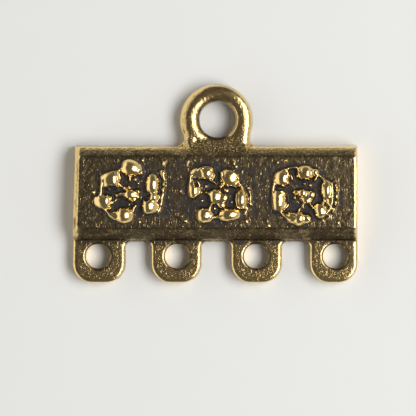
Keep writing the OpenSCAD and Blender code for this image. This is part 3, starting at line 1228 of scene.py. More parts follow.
RIGHT_ROSETTE = Rosette(
    "right_rosette", RIGHT.x, RIGHT.y,
    petals=[
        RIGHT.petal(283.0, 178.6, 7.0, 9.6, 8.8, 8.6, 0, 0.47),
        RIGHT.petal(277.8, 199.4, 9.6, 6.6, 11.5, 14.0, 0, 0.47),
        RIGHT.petal(306.2, 173.6, 7.6, 10.4, 8.6, 7.0, 0, 0.47),
        RIGHT.petal(315.0, 172.4, 5.0, 4.5, 4.2, 4.5, 0, 0.42),
        RIGHT.petal(326.8, 190.2, 6.6, 6.4, 11.0, 10.5, 0, 0.48),
        RIGHT.petal(319.8, 211.6, 9.5, 5.4, 9.0, 7.4, 12, 0.46),
        RIGHT.petal(299.0, 218.2, 8.0, 7.0, 6.6, 7.4, 0, 0.47),
        RIGHT.petal(292.8, 217.2, 5.0, 7.5, 5.0, 6.0, -15, 0.38),
        RIGHT.petal(307.0, 218.4, 5.6, 5.0, 4.6, 4.6, -20, 0.36),
        RIGHT.petal(330.4, 202.0, 2.6, 4.4, 8.0, 6.0, 0, 0.36),
    ],
    hollows=[
        RIGHT.hollow(291.5, 172.5, 6.0, 3.6, -75), RIGHT.hollow(281.0, 189.2, 8.5, 2.8, 0),
        RIGHT.hollow(300.5, 181.5, 11.0, 4.6, 0), RIGHT.hollow(294.5, 206.5, 7.5, 6.5, 0),
        RIGHT.hollow(308.0, 208.5, 7.5, 6.5, 0), RIGHT.hollow(317.6, 187.0, 9.0, 4.2, 90),
        RIGHT.hollow(317.0, 177.5, 4.0, 3.0, 0), RIGHT.hollow(289.5, 189.5, 5.0, 4.0, 40),
        RIGHT.hollow(289.0, 200.0, 6.0, 3.6, 90), RIGHT.hollow(318.5, 200.0, 6.0, 5.5, 60),
        RIGHT.hollow(311.5, 185.5, 7.0, 4.0, 0),
    ],
    beads=[
        RIGHT.bead(307.0, 196.4, 9.4, 9.4, 7.2, 6.8, 0, 0.30),
        RIGHT.bead(302.0, 193.0, 5.6, 4.2, 4.2, 4.2, 0, 0.45, 0.20),
        RIGHT.bead(310.8, 194.6, 5.0, 3.6, 4.0, 4.0, -10, 0.41, 0.20),
        RIGHT.bead(306.0, 200.6, 6.4, 4.4, 3.2, 3.0, -6, 0.40, 0.20),
        RIGHT.bead(295.8, 192.2, 3.4, 3.2, 2.8, 2.8, 0, 0.26, 0.05),
        RIGHT.bead(295.0, 197.8, 2.6, 2.4, 2.2, 2.2, 0, 0.30),
        RIGHT.bead(304.6, 183.7, 2.2, 2.0, 2.2, 2.2, 0, 0.34),
        RIGHT.bead(323.8, 201.6, 2.2, 2.0, 1.8, 1.8, 0, 0.33),
        RIGHT.bead(287.0, 182.8, 4.0, 3.6, 2.8, 2.8, 0, 0.42),
        RIGHT.bead(303.2, 206.0, 2.2, 2.0, 3.0, 3.0, 0, 0.20),
        RIGHT.bead(310.6, 185.4, 2.6, 2.4, 2.0, 2.0, 0, 0.18),
        RIGHT.bead(337.0, 187.6, 1.9, 1.5, 2.8, 2.8, 0, 0.27),
        RIGHT.bead(334.8, 181.0, 1.6, 1.4, 1.4, 1.4, 0, 0.11),
        RIGHT.bead(336.0, 193.2, 1.4, 1.3, 1.6, 1.6, 0, 0.11),
        RIGHT.bead(336.4, 202.6, 1.7, 1.4, 2.4, 2.4, 12, 0.26),
        RIGHT.bead(333.6, 209.0, 1.6, 1.4, 2.0, 2.0, 20, 0.13),
        RIGHT.bead(329.6, 215.2, 1.6, 1.5, 1.4, 1.4, 45, 0.11),
        RIGHT.bead(323.0, 221.0, 1.9, 1.7, 1.4, 1.4, 10, 0.12),
        RIGHT.bead(302.8, 160.2, 1.7, 1.5, 1.5, 1.5, 0, 0.11),
        RIGHT.bead(277.4, 162.0, 1.7, 1.5, 1.6, 1.6, 0, 0.10),
        RIGHT.bead(266.4, 221.4, 1.3, 1.2, 1.8, 1.8, 10, 0.10),
        RIGHT.bead(268.4, 226.0, 1.6, 1.4, 1.5, 1.5, 0, 0.11),
        RIGHT.bead(338.0, 222.8, 1.6, 1.4, 1.4, 1.4, 0, 0.08),
        RIGHT.bead(266.4, 179.0, 1.3, 1.2, 1.6, 1.6, 0, 0.08),
        RIGHT.bead(274.0, 212.0, 1.8, 1.6, 1.4, 1.4, -30, 0.09),
    ],
    lips=[
        RIGHT.lip([(286.6, 169.8), (288.2, 173.0), (287.8, 177.0)], 1.5, 0.40),
        RIGHT.lip([(290.8, 174.6), (292.8, 179.6)], 1.5, 0.32),
        RIGHT.lip([(297.6, 167.6), (298.8, 173.0), (300.8, 178.4)], 1.6, 0.42),
        RIGHT.lip([(318.0, 175.4), (315.0, 180.2)], 1.6, 0.38),
        RIGHT.lip([(322.6, 184.6), (322.0, 190.0), (323.6, 193.6)], 1.7, 0.38),
        RIGHT.lip([(332.0, 183.0), (332.8, 192.0), (332.6, 201.0), (330.4, 209.0),
                   (325.4, 214.6)], 1.9, 0.40),
        RIGHT.lip([(306.0, 216.6), (310.0, 221.0)], 2.2, 0.40),
        RIGHT.lip([(310.6, 204.4), (313.4, 208.2)], 1.4, 0.34),
        RIGHT.lip([(300.0, 208.4), (298.8, 211.8)], 1.3, 0.26),
        RIGHT.lip([(285.8, 208.6), (288.6, 204.4)], 1.4, 0.30),
        RIGHT.lip([(284.0, 215.2), (289.0, 219.2)], 1.9, 0.30),
        RIGHT.lip([(281.0, 193.4), (285.4, 193.6)], 1.6, 0.40),
        RIGHT.lip([(336.4, 184.0), (337.2, 188.6), (337.2, 191.0)], 1.3, 0.20),
        RIGHT.lip([(337.4, 195.0), (337.2, 198.0)], 1.3, 0.20),
        RIGHT.lip([(336.6, 201.0), (335.8, 205.4)], 1.4, 0.22),
        RIGHT.lip([(334.6, 208.6), (333.0, 212.0)], 1.3, 0.20),
        RIGHT.lip([(330.0, 216.6), (327.0, 219.2)], 1.2, 0.17),
        RIGHT.lip([(283.0, 170.2), (290.0, 168.0), (298.0, 167.2)], 1.6, 0.26),
        RIGHT.lip([(274.4, 183.0), (273.0, 190.0), (272.8, 195.0)], 1.8, 0.28),
        RIGHT.lip([(316.0, 172.0), (321.0, 176.6), (326.0, 181.0)], 1.6, 0.24),
        RIGHT.lip([(279.0, 209.0), (283.0, 214.6)], 1.4, 0.22),
    ],
    stains=[
        RIGHT.stain(322.5, 175.0, 5.0, 4.0, -40), RIGHT.stain(277.0, 213.5, 8.0, 4.0, -35),
        RIGHT.stain(294.0, 165.0, 8.0, 3.0, 20), RIGHT.stain(341.0, 196.0, 3.0, 14.0, 0),
    ],
)


@dataclass(frozen=True)
class Grain:
    """One layer of cast texture: a cloud or cell pattern pressed into the skin."""

    kind: str
    size: float
    strength: float
    region: str
    settings: dict[str, object] = field(default_factory=dict)
    level: float = 0.5

    def press(self, work: Workpiece) -> None:
        """Displaces the mesh by this layer.

        Args:
            work: the mesh, which has a vertex group named after the region.
        """
        texture = bpy.data.textures.new(f"{self.kind.lower()}_{self.size}", self.kind)
        texture.noise_scale = self.size
        for key, value in self.settings.items():
            setattr(texture, key, value)
        work.modify("DISPLACE", texture=texture, texture_coords="LOCAL", strength=self.strength,
                    mid_level=self.level, vertex_group=self.region, direction="NORMAL")


class HeightMap:
    """The face's heights on a square grid, with blurred copies to tell hollows from crests."""

    def __init__(self, points: np.ndarray, up: np.ndarray, cell: float) -> None:
        """Lays the upper side of a mesh on the grid.

        Args:
            points: the vertices' places.
            up: upward part of the vertices' normals.
            cell: width of one cell.
        """
        least_up = 0.05
        margin = 8
        upper = up > least_up
        self.cell = cell
        self.origin = points[:, :2].min(axis=0) - margin * cell
        size = np.ceil((points[:, :2].max(axis=0) - self.origin) / cell).astype(int) + margin
        self.heights = np.zeros((size[0], size[1]))
        index = self.index(points[upper])
        np.maximum.at(self.heights, (index[:, 0], index[:, 1]), points[upper, 2])
        self.filled = self.heights > 0

    def index(self, points: np.ndarray) -> np.ndarray:
        """Returns the cell of each point."""
        return np.floor((points[:, :2] - self.origin) / self.cell).astype(int)

    def spread(self, grid: np.ndarray, reach: float) -> np.ndarray:
        """Blurs a grid with a soft round window.

        Args:
            grid: values on the height map's grid.
            reach: standard deviation of the window.

        Returns:
            The blurred grid.
        """
        return blurred(grid, reach / self.cell)

    def blurred(self, reach: float) -> np.ndarray:
        """Averages the heights with a soft round window, over the metal alone.

        Args:
            reach: standard deviation of the window.

        Returns:
            The averaged heights.
        """
        metal = self.filled.astype(float)
        return self.spread(self.heights * metal, reach) / np.maximum(self.spread(metal, reach), 1e-6)

    def cover(self, reach: float) -> np.ndarray:
        """Finds how much of a soft round window is metal.

        Args:
            reach: standard deviation of the window.

        Returns:
            A share from 0 to 1 for each cell.
        """
        return self.spread(self.filled.astype(float), reach)

    def sample(self, grid: np.ndarray, points: np.ndarray) -> np.ndarray:
        """Reads a grid at the mesh's vertices.

        Args:
            grid: values on the height map's grid.
            points: the vertices' places.

        Returns:
            One value for each vertex.
        """
        index = self.index(points)
        return grid[index[:, 0], index[:, 1]]


def ramp(values: np.ndarray, low: float, high: float) -> np.ndarray:
    """Goes smoothly from 0 at one value to 1 at another.

    Args:
        values: the numbers to map.
        low: value that gives 0.
        high: value that gives 1.

    Returns:
        Numbers from 0 to 1.
    """
    share = np.clip((values - low) / (high - low), 0.0, 1.0)
    return share * share * (3 - 2 * share)


def between(values: np.ndarray, rise: Span, fall: Span) -> np.ndarray:
    """Goes smoothly up from 0 to 1 and down again.

    Args:
        values: the numbers to map.
        rise: values between which it goes up.
        fall: values between which it goes down.

    Returns:
        Numbers from 0 to 1.
    """
    return ramp(values, *rise) * (1 - ramp(values, *fall))


class Val:
    """A value in a material: a socket that takes part in sums as a number does."""

    def __init__(self, bench: ShaderBench, socket: bpy.types.NodeSocket) -> None:
        """Wraps a socket.

        Args:
            bench: the material's node bench.
            socket: the output that holds the value.
        """
        self.bench = bench
        self.socket = socket

    def _math(self, operation: str, first: object, second: object) -> Val:
        """Adds one Math node and returns its value."""
        return self.bench.node("ShaderNodeMath", {"operation": operation}, {0: first, 1: second})

    def __add__(self, other: Val | float) -> Val:
        """Returns this value plus another."""
        return self._math("ADD", self, other)

    __radd__ = __add__

    def __mul__(self, other: Val | float) -> Val:
        """Returns this value times another."""
        return self._math("MULTIPLY", self, other)

    def __sub__(self, other: Val | float) -> Val:
        """Returns this value less another."""
        return self._math("SUBTRACT", self, other)

    def __rsub__(self, other: Val | float) -> Val:
        """Returns another value less this one."""
        return self._math("SUBTRACT", other, self)

    def clipped(self) -> Val:
        """Returns this value kept between 0 and 1."""
        return self.bench.node("ShaderNodeClamp", {}, {0: self})

    def smooth(self, low: float, high: float) -> Val:
        """Goes smoothly from 0 at one value to 1 at another.

        Args:
            low: value that gives 0.
            high: value that gives 1.

        Returns:
            The mapped value.
        """
        return self.bench.node("ShaderNodeMapRange", {"interpolation_type": "SMOOTHSTEP"},
                               {"Value": self, "From Min": low, "From Max": high})


class ShaderBench:
    """The nodes of one material."""

    def __init__(self, tree: bpy.types.NodeTree) -> None:
        """Clears a node tree to work on.

        Args:
            tree: the material's or the world's nodes.
        """
        self.tree = tree
        self.tree.nodes.clear()

    def node(self, kind: str, settings: dict[str, object], inputs: dict[int | str, object],
             output: int | str = 0) -> Val | None:
        """Adds a node.

        Args:
            kind: the node's type.
            settings: its own properties, set before its sockets.
            inputs: values or links by socket.
            output: the socket that is returned.

        Returns:
            The node's output, or nothing for an end node.
        """
        made = self.tree.nodes.new(kind)
        for key, value in settings.items():
            setattr(made, key, value)
        for key, value in inputs.items():
            socket = made.inputs[key]
            if isinstance(value, Val):
                self.tree.links.new(value.socket, socket)
            else:
                socket.default_value = value
        return Val(self, made.outputs[output]) if made.outputs else None

    def blend(self, share: Val, first: object, second: object) -> Val:
        """Mixes two colours.

        Args:
            share: how much of the second colour shows.
            first: colour where the share is 0.
            second: colour where the share is 1.

        Returns:
            The mixed colour.
        """
        made = self.tree.nodes.new("ShaderNodeMix")
        made.data_type = "RGBA"
        for name, value in (("Factor_Float", share), ("A_Color", first), ("B_Color", second)):
            socket = next(s for s in made.inputs if s.identifier == name)
            if isinstance(value, Val):
                self.tree.links.new(value.socket, socket)
            else:
                socket.default_value = value
        return Val(self, next(s for s in made.outputs if s.identifier == "Result_Color"))

    def attribute(self, name: str) -> Val:
        """Returns the number that the mesh holds under a name."""
        return self.node("ShaderNodeAttribute", {"attribute_name": name}, {}, output="Fac")

    def noise(self, place: Val, scale: float, detail: float, roughness: float = 0.5) -> Val:
        """Returns cloudy noise, at a scale in features for each unit of the place."""
        return self.node("ShaderNodeTexNoise", {"noise_dimensions": "3D"},
                         {"Vector": place, "Scale": scale, "Detail": detail, "Roughness": roughness})


@dataclass(frozen=True)
class AntiqueGold:
    """Worn gold plate: bright on crests and edges, brown on the ground, near black in hollows."""

    bright: tuple[float, float, float, float] = (0.90, 0.665, 0.285, 1.0)
    amber: tuple[float, float, float, float] = (0.60, 0.43, 0.19, 1.0)
    brown: tuple[float, float, float, float] = (0.136, 0.103, 0.059, 1.0)
    umber: tuple[float, float, float, float] = (0.074, 0.055, 0.034, 1.0)
    black: tuple[float, float, float, float] = (0.033, 0.0285, 0.0275, 1.0)
    polish: float = 0.11
    dull: float = 0.30
    sooty: float = 0.42
    gloss: float = 0.3
    mottle_scale: float = 1.6
    streak_scale: float = 5.5
    streak_stretch: float = 0.35
    speck_scale: float = 9.0
    painted_glint_scale: float = 10.0
    painted_glint_cut: Span = (0.62, 0.72)
    fleck_scale: float = 11.0
    fleck_cut: Span = (0.58, 0.68)
    mottle_share: float = 0.8
    streak_share: float = 0.55
    speck_share: float = 0.65
    speck_soot: float = 0.8
    painted_glint_share: float = 0.5
    fleck_share: float = 0.4
    wear_clean: float = 0.1
    painted_glint_clean: float = 0.6
    looseness: float = 1.15
    soot_range: Span = (0.05, 0.75)
    amber_range: Span = (0.0, 0.65)
    bright_range: Span = (0.45, 1.0)
    umber_range: Span = (0.0, 0.6)
    black_range: Span = (0.5, 1.0)
    black_streaks: float = 0.8
    pit_depth: float = 0.02
    metal_loss: float = 0.75
    metal_range: Span = (0.2, 1.0)
    speck_rough: float = 0.1

    def material(self) -> bpy.types.Material:
        """Makes the finish: it reads the casting's rubbed gold and patina, which carry painted shade and
        painted reflection, and adds painted glints.

        Returns:
            The material.
        """
        material = bpy.data.materials.new("antique_gold")
        material.use_nodes = True
        bench = ShaderBench(material.node_tree)
        place = bench.node("ShaderNodeTexCoord", {}, {}, output="Object")
        place = bench.node("ShaderNodeMapping", {}, {"Vector": place, "Scale": (1 / MM,) * 3})
        upright = bench.node("ShaderNodeMapping", {}, {
            "Vector": place, "Scale": (1.0, self.streak_stretch, 1.0)})
        wear, grime, flecked = (bench.attribute(name) for name in ("wear", "grime", "fleck"))
        mottle = bench.noise(place, self.mottle_scale, 3.0)
        streak = bench.noise(upright, self.streak_scale, 2.0)
        speck = bench.noise(place, self.speck_scale, 3.0, 0.6)
        # Painted glints: small bright specks, stretched along Y like the soft light's glints, on the less
        # rubbed ground; they also clear the patina there.
        painted_glints = bench.noise(upright, self.painted_glint_scale, 1.0).smooth(*self.painted_glint_cut) * (1.0 - wear)
        fleck = flecked * bench.noise(place, self.fleck_scale, 1.0).smooth(*self.fleck_cut)
        loose = self.looseness - wear
        patchy = (mottle - 0.5) * self.mottle_share + (streak - 0.5) * self.streak_share
        # Bright carries the rubbed gold with its painted shade and painted reflection; the painted glints are
        # added next.
        bright = wear + (patchy + (speck - 0.5) * self.speck_share) * loose
        bright = (bright + painted_glints * self.painted_glint_share + fleck * self.fleck_share).clipped()
        # Soot is the dark patina together with the painted wall shade.
        soot = grime - (patchy + (speck - 0.5) * self.speck_soot) * loose
        soot = (soot - wear * self.wear_clean - painted_glints * self.painted_glint_clean).smooth(*self.soot_range)
        colour = bench.blend(bright.smooth(*self.amber_range), self.brown, self.amber)
        colour = bench.blend(bright.smooth(*self.bright_range), colour, self.bright)
        colour = bench.blend(soot.smooth(*self.umber_range), colour, self.umber)
        streaky = (soot + (streak - 0.5) * self.black_streaks).smooth(*self.black_range)
        colour = bench.blend(streaky, colour, self.black)
        rough = self.dull + bright * (self.polish - self.dull)
        rough = rough + soot * (self.sooty - self.dull) + (speck - 0.5) * self.speck_rough
        bump = bench.node("ShaderNodeBump", {}, {
            "Strength": 1.0, "Distance": self.pit_depth * MM, "Height": speck * (self.looseness - bright)})
        metal = 1.0 - soot.smooth(*self.metal_range) * self.metal_loss
        shader = bench.node("ShaderNodeBsdfPrincipled", {}, {
            "Base Color": colour, "Metallic": metal, "Roughness": rough.clipped(), "Normal": bump,
            "Specular IOR Level": self.gloss})
        bench.node("ShaderNodeOutputMaterial", {}, {"Surface": shader})
        return material


@dataclass
class Surface:
    """The casting's surface as the finish sees it: its places, and the regions that it tells apart."""

    work: Workpiece
    holes: Holes
    ground: float
    cell: float
    crest_reach: float = 0.10
    cover_reach: float = 0.30
    rim_cover: Span = (0.80, 0.95)
    tabs_y: Span = (-4.2, -3.9)
    petal_lift: Span = (0.05, 0.16)
    petal_y: Span = (1.8, 2.3)
    joint_reach: Span = (0.2, 0.5)
    tall_reach: float = 0.30

    def __post_init__(self) -> None:
        """Reads the mesh and finds the regions."""
        self.points = self.work.points()
        self.across, self.upright, self.up = self.work.normals().T
        self.x, self.y = self.points[:, 0], self.points[:, 1]
        self.grid = HeightMap(self.points, self.up, cell=self.cell)
        self.crest = -self.sunk(self.crest_reach)
        self.rim = 1 - ramp(self.grid.sample(self.grid.cover(self.cover_reach), self.points), *self.rim_cover)
        self.tabs = 1 - ramp(self.y, *self.tabs_y)
        lift = ramp(self.points[:, 2], self.ground + self.petal_lift[0], self.ground + self.petal_lift[1])
        self.petals = lift * (1 - ramp(self.y, *self.petal_y))
        self.joint = self.near_joint(self.joint_reach) * (1 - self.rim)

    def sunk(self, reach: float) -> np.ndarray:
        """Works out how far each place lies below its surroundings.

        Args:
            reach: how far the surroundings reach.

        Returns:
            Depth for each place.
        """
        return self.grid.sample(self.grid.blurred(reach) - self.grid.heights, self.points)

    def near_petals(self) -> np.ndarray:
        """Returns how much of each place's surroundings is petal."""
        tall = (self.grid.heights > self.ground + self.petal_lift[1]).astype(float)
        return self.grid.sample(self.grid.spread(tall, self.tall_reach), self.points)

    def near_joint(self, reach: Span) -> np.ndarray:
        """Finds the places near the line where the strand loops leave the bar.

        Args:
            reach: distances from the line between which the share falls.

        Returns:
            A share from 0 to 1 for each place.
        """
        return 1 - ramp(np.abs(self.y - Slab.low), *reach)

    def from_hole(self, place: Vector, radius: float) -> np.ndarray:
        """Returns each place's distance from the wall of a hole."""
        return np.hypot(self.x - place.x, self.y - place.y) - radius


@dataclass(frozen=True)
class PaintedWallShade:
    """Painted shade on outer walls that face +X or +Y, or -Y near the strand loops' joint: their gold is
    dulled and darkened.
    """

    turn_right: Span = (0.3, 0.7)
    turn_up: Span = (0.5, 0.9)
    turn_down: Span = (0.5, 0.9)
    joint_reach: Span = (0.2, 0.4)
    upwards: Span = (0.05, 0.35)
    main_gap: Span = (0.3, 0.5)
    strand_gap: Span = (0.1, 0.3)
    right_end: Span = (9.1, 9.4)

    def on(self, face: Surface) -> np.ndarray:
        """Finds the walls that get the painted shade.

        Args:
            face: the casting's surface.

        Returns:
            A share from 0 to 1 for each place.
        """
        outside = ramp(face.from_hole(face.holes.main, face.holes.main_r), *self.main_gap)
        outside *= 1 - ramp(face.x, *self.right_end)
        for place in face.holes.strand:
            outside *= ramp(face.from_hole(place, face.holes.strand_r), *self.strand_gap)
        painted_wall_shade = np.maximum(ramp(face.across, *self.turn_right), ramp(face.upright, *self.turn_up))
        painted_wall_shade = np.maximum(painted_wall_shade, ramp(-face.upright, *self.turn_down) * face.near_joint(self.joint_reach))
        return painted_wall_shade * outside * (1 - ramp(face.up, *self.upwards))


@dataclass(frozen=True)
class WearAndPaintedLight:
    """How bright the gold is rubbed on crests, rims, petals and loops, lighter towards +X on the upper band
    and strand loops, with painted shade and painted reflection on some walls and edges.
    """

    even: float = 0.05
    upper: float = 0.03
    upper_right: float = 0.05
    tabs: float = 0.36
    tabs_right: float = 0.12
    loop: float = 0.35
    petals: float = 0.63
    petal_sides: Span = (0.80, 0.95)
    crests: Span = (0.015, 0.05)
    upper_y: Span = (1.55, 2.0)
    upper_x: Span = (-8.0, 8.0)
    tabs_x: Span = (-3.0, 6.0)
    loop_y: Span = (1.9, 2.5)
    edge_up: Span = (0.35, 0.85)
    arm_y: float = 2.9
    arm_even: float = 0.15
    arm_left: float = 0.85
    arm_right: float = 0.4
    arm_left_turn: Span = (-0.1, 0.6)
    arm_right_turn: Span = (0.4, 0.7)
    main_gap: Span = (0.05, 0.3)
    main_loss: float = 0.85
    main_right_gain: float = 0.45
    main_right: Span = (0.3, 0.9)
    strand_gap: Span = (0.08, 0.28)
    strand_wall_shade: float = 0.85
    strand_turn: Span = (0.0, 0.6)
    joint_loss: float = 0.8
    step_shade: float = 0.8
    step_turn: Span = (0.1, 0.6)
    step_reach: Span = (0.15, 0.4)
    end_shade: float = 0.3
    end_turn: Span = (0.5, 0.9)
    end_x: Span = (9.4, 9.7)
    painted_wall_shade_loss: float = 0.5

    def on(self, face: Surface, painted_wall_shade: np.ndarray) -> np.ndarray:
        """Works out how worn the gold is, with its painted shade and painted reflection.

        Args:
            face: the casting's surface.
            painted_wall_shade: share of painted shade on outer walls for each place.

        Returns:
            Rubbed gold and painted light, from 0 to 1 for each place.
        """
        upper = ramp(face.y, *self.upper_y)
        zone = (self.even + self.upper * upper + self.tabs * face.tabs
                + self.upper_right * upper * ramp(face.x, *self.upper_x))
        zone += self.tabs_right * face.tabs * ramp(face.x, *self.tabs_x)
        zone += self.loop * ramp(face.y, *self.loop_y)
        # Painted reflection and shade on the main loop: edges facing -X are made bright gold, those facing +X
        # less so, the others stay dull.
        arm = (self.arm_even + self.arm_left * ramp(-face.across, *self.arm_left_turn)
               + self.arm_right * ramp(face.across, *self.arm_right_turn))
        edges = (1 - ramp(face.up, *self.edge_up)) * face.rim * np.where(face.y > self.arm_y, arm, 1.0)
        bared = self.petals + (1 - self.petals) * (1 - ramp(face.up, *self.petal_sides))
        wear = zone + bared * face.petals + ramp(face.crest, *self.crests) + edges
        wear = np.clip(wear, 0.0, 1.0) * self.darker_hole_walls(face)
        wear *= 1 - self.joint_loss * face.joint
        # Painted shade on the walls facing -Y along the bar's lower edge.
        wear *= 1 - self.step_shade * ramp(-face.upright, *self.step_turn) * face.near_joint(self.step_reach)
        # Painted shade on the right end's walls that face +X.
        wear *= 1 - self.end_shade * ramp(face.across, *self.end_turn) * ramp(face.x, *self.end_x)
        # The painted wall shade dulls the gold on those walls.
        return wear * (1 - self.painted_wall_shade_loss * painted_wall_shade)

    def darker_hole_walls(self, face: Surface) -> np.ndarray:
        """Works out how much brightness stays on the hole walls: painted shade on strand hole walls not
        facing the light, plain darkening on the main hole's, less on its right.

        Args:
            face: the casting's surface.

        Returns:
            A share from 0 to 1 for each place.
        """
        holes = face.holes
        loss = self.main_loss - self.main_right_gain * ramp(face.x - holes.main.x, *self.main_right)
        kept = 1 - (1 - ramp(face.from_hole(holes.main, holes.main_r), *self.main_gap)) * loss
        for place in holes.strand:
            wall = 1 - ramp(face.from_hole(place, holes.strand_r), *self.strand_gap)
            # Painted shade on the strand holes' walls that don't face the light.
            kept *= 1 - self.strand_wall_shade * wall * (1 - ramp(face.across, *self.strand_turn))
        return kept


@dataclass(frozen=True)
class GrimeAndShade:
    """How thick the dark patina lies, in hollows, round the rosettes and under the bar's edge, with painted
    shade on outer walls added.
    """

    hollow_reach: float = 0.40
    hollow_depth: Span = (0.05, 0.30)
    crevice_reach: float = 0.14
    crevice_depth: Span = (0.015, 0.07)
    crevice: float = 0.9
    crevice_crest: Span = (0.0, 0.02)
    crevice_near: Span = (0.02, 0.2)
    near: float = 0.5
    near_share: Span = (0.01, 0.30)
    even: float = 0.15
    field_up: Span = (0.0, 0.4)
    field_rise: Span = (-3.9, -3.5)
    field_fall: Span = (1.45, 1.8)
    middle: float = 0.31
    middle_x: float = 0.2
    middle_reach: Span = (4.0, 8.0)
    middle_y: Span = (-3.0, -1.8)
    joint: float = 0.35
    joint_up: Span = (0.3, 0.8)
    rubbed: float = 0.8
    rubbed_crest: Span = (0.010, 0.035)
    foot: float = 0.12
    foot_rise: Span = (2.3, 2.8)
    foot_fall: Span = (3.4, 3.9)
    foot_x: Span = (1.2, 1.6)
    soot_crest: Span = (0.012, 0.04)
    painted_wall_shade: float = 0.4

    def on(self, face: Surface, rosettes: tuple[Rosette, ...], painted_wall_shade: np.ndarray) -> np.ndarray:
        """Works out the patina with the painted wall shade.

        Args:
            face: the casting's surface.
            rosettes: the rosettes, which hold soot in their hollows.
            painted_wall_shade: share of painted shade on outer walls for each place.

        Returns:
            Patina and painted shade from 0 to 1 for each place.
        """
        petals_near = face.near_petals()
        in_field = between(face.y, self.field_rise, self.field_fall)
        middle = 1 - ramp(np.abs(face.x - self.middle_x), *self.middle_reach)
        middle *= ramp(face.y, *self.middle_y)
        grime = np.maximum(ramp(face.sunk(self.hollow_reach), *self.hollow_depth),
                           self.near * ramp(petals_near, *self.near_share))
        grime = np.maximum(grime, self.even + self.middle * middle)
        grime *= ramp(face.up, *self.field_up) * (1 - face.rim) * (1 - face.petals) * in_field
        grime = np.maximum(grime, self.joint * face.joint * ramp(face.up, *self.joint_up))
        grime *= 1 - self.rubbed * ramp(face.crest, *self.rubbed_crest)
        sunken = ramp(face.sunk(self.crevice_reach), *self.crevice_depth)
        sunken *= 1 - ramp(face.crest, *self.crevice_crest)
        sunken *= ramp(petals_near, *self.crevice_near) * in_field
        grime = np.maximum(grime, self.crevice * sunken)
        foot = between(face.y, self.foot_rise, self.foot_fall) * (1 - face.rim)
        grime = np.maximum(grime, self.foot * foot * (1 - ramp(face.x, *self.foot_x)))
        for rosette in rosettes:
            left = 1 - self.rubbed * ramp(face.crest, *self.soot_crest)
            grime = np.maximum(grime, rosette.soot(face.points) * left)
        # The painted wall shade darkens those walls as well.
        return np.maximum(grime, self.painted_wall_shade * painted_wall_shade)


@dataclass(frozen=True)
class Flecks:
    """Where small bright flecks lie: on the strand loops and the neck, away from rims."""

    neck: float = 1.8
    neck_rise: Span = (1.6, 2.2)
    neck_fall: Span = (3.0, 3.6)
    neck_x: Span = (2.5, 4.5)
    joint_loss: float = 0.6

    def on(self, face: Surface) -> np.ndarray:
        """Works out how many flecks lie at each place.

        Args:
            face: the casting's surface.

        Returns:
            Share of flecks for each place.
        """
        neck = between(face.y, self.neck_rise, self.neck_fall) * (1 - ramp(np.abs(face.x), *self.neck_x))
        return (face.tabs + self.neck * neck) * (1 - face.rim) * (1 - self.joint_loss * face.joint)


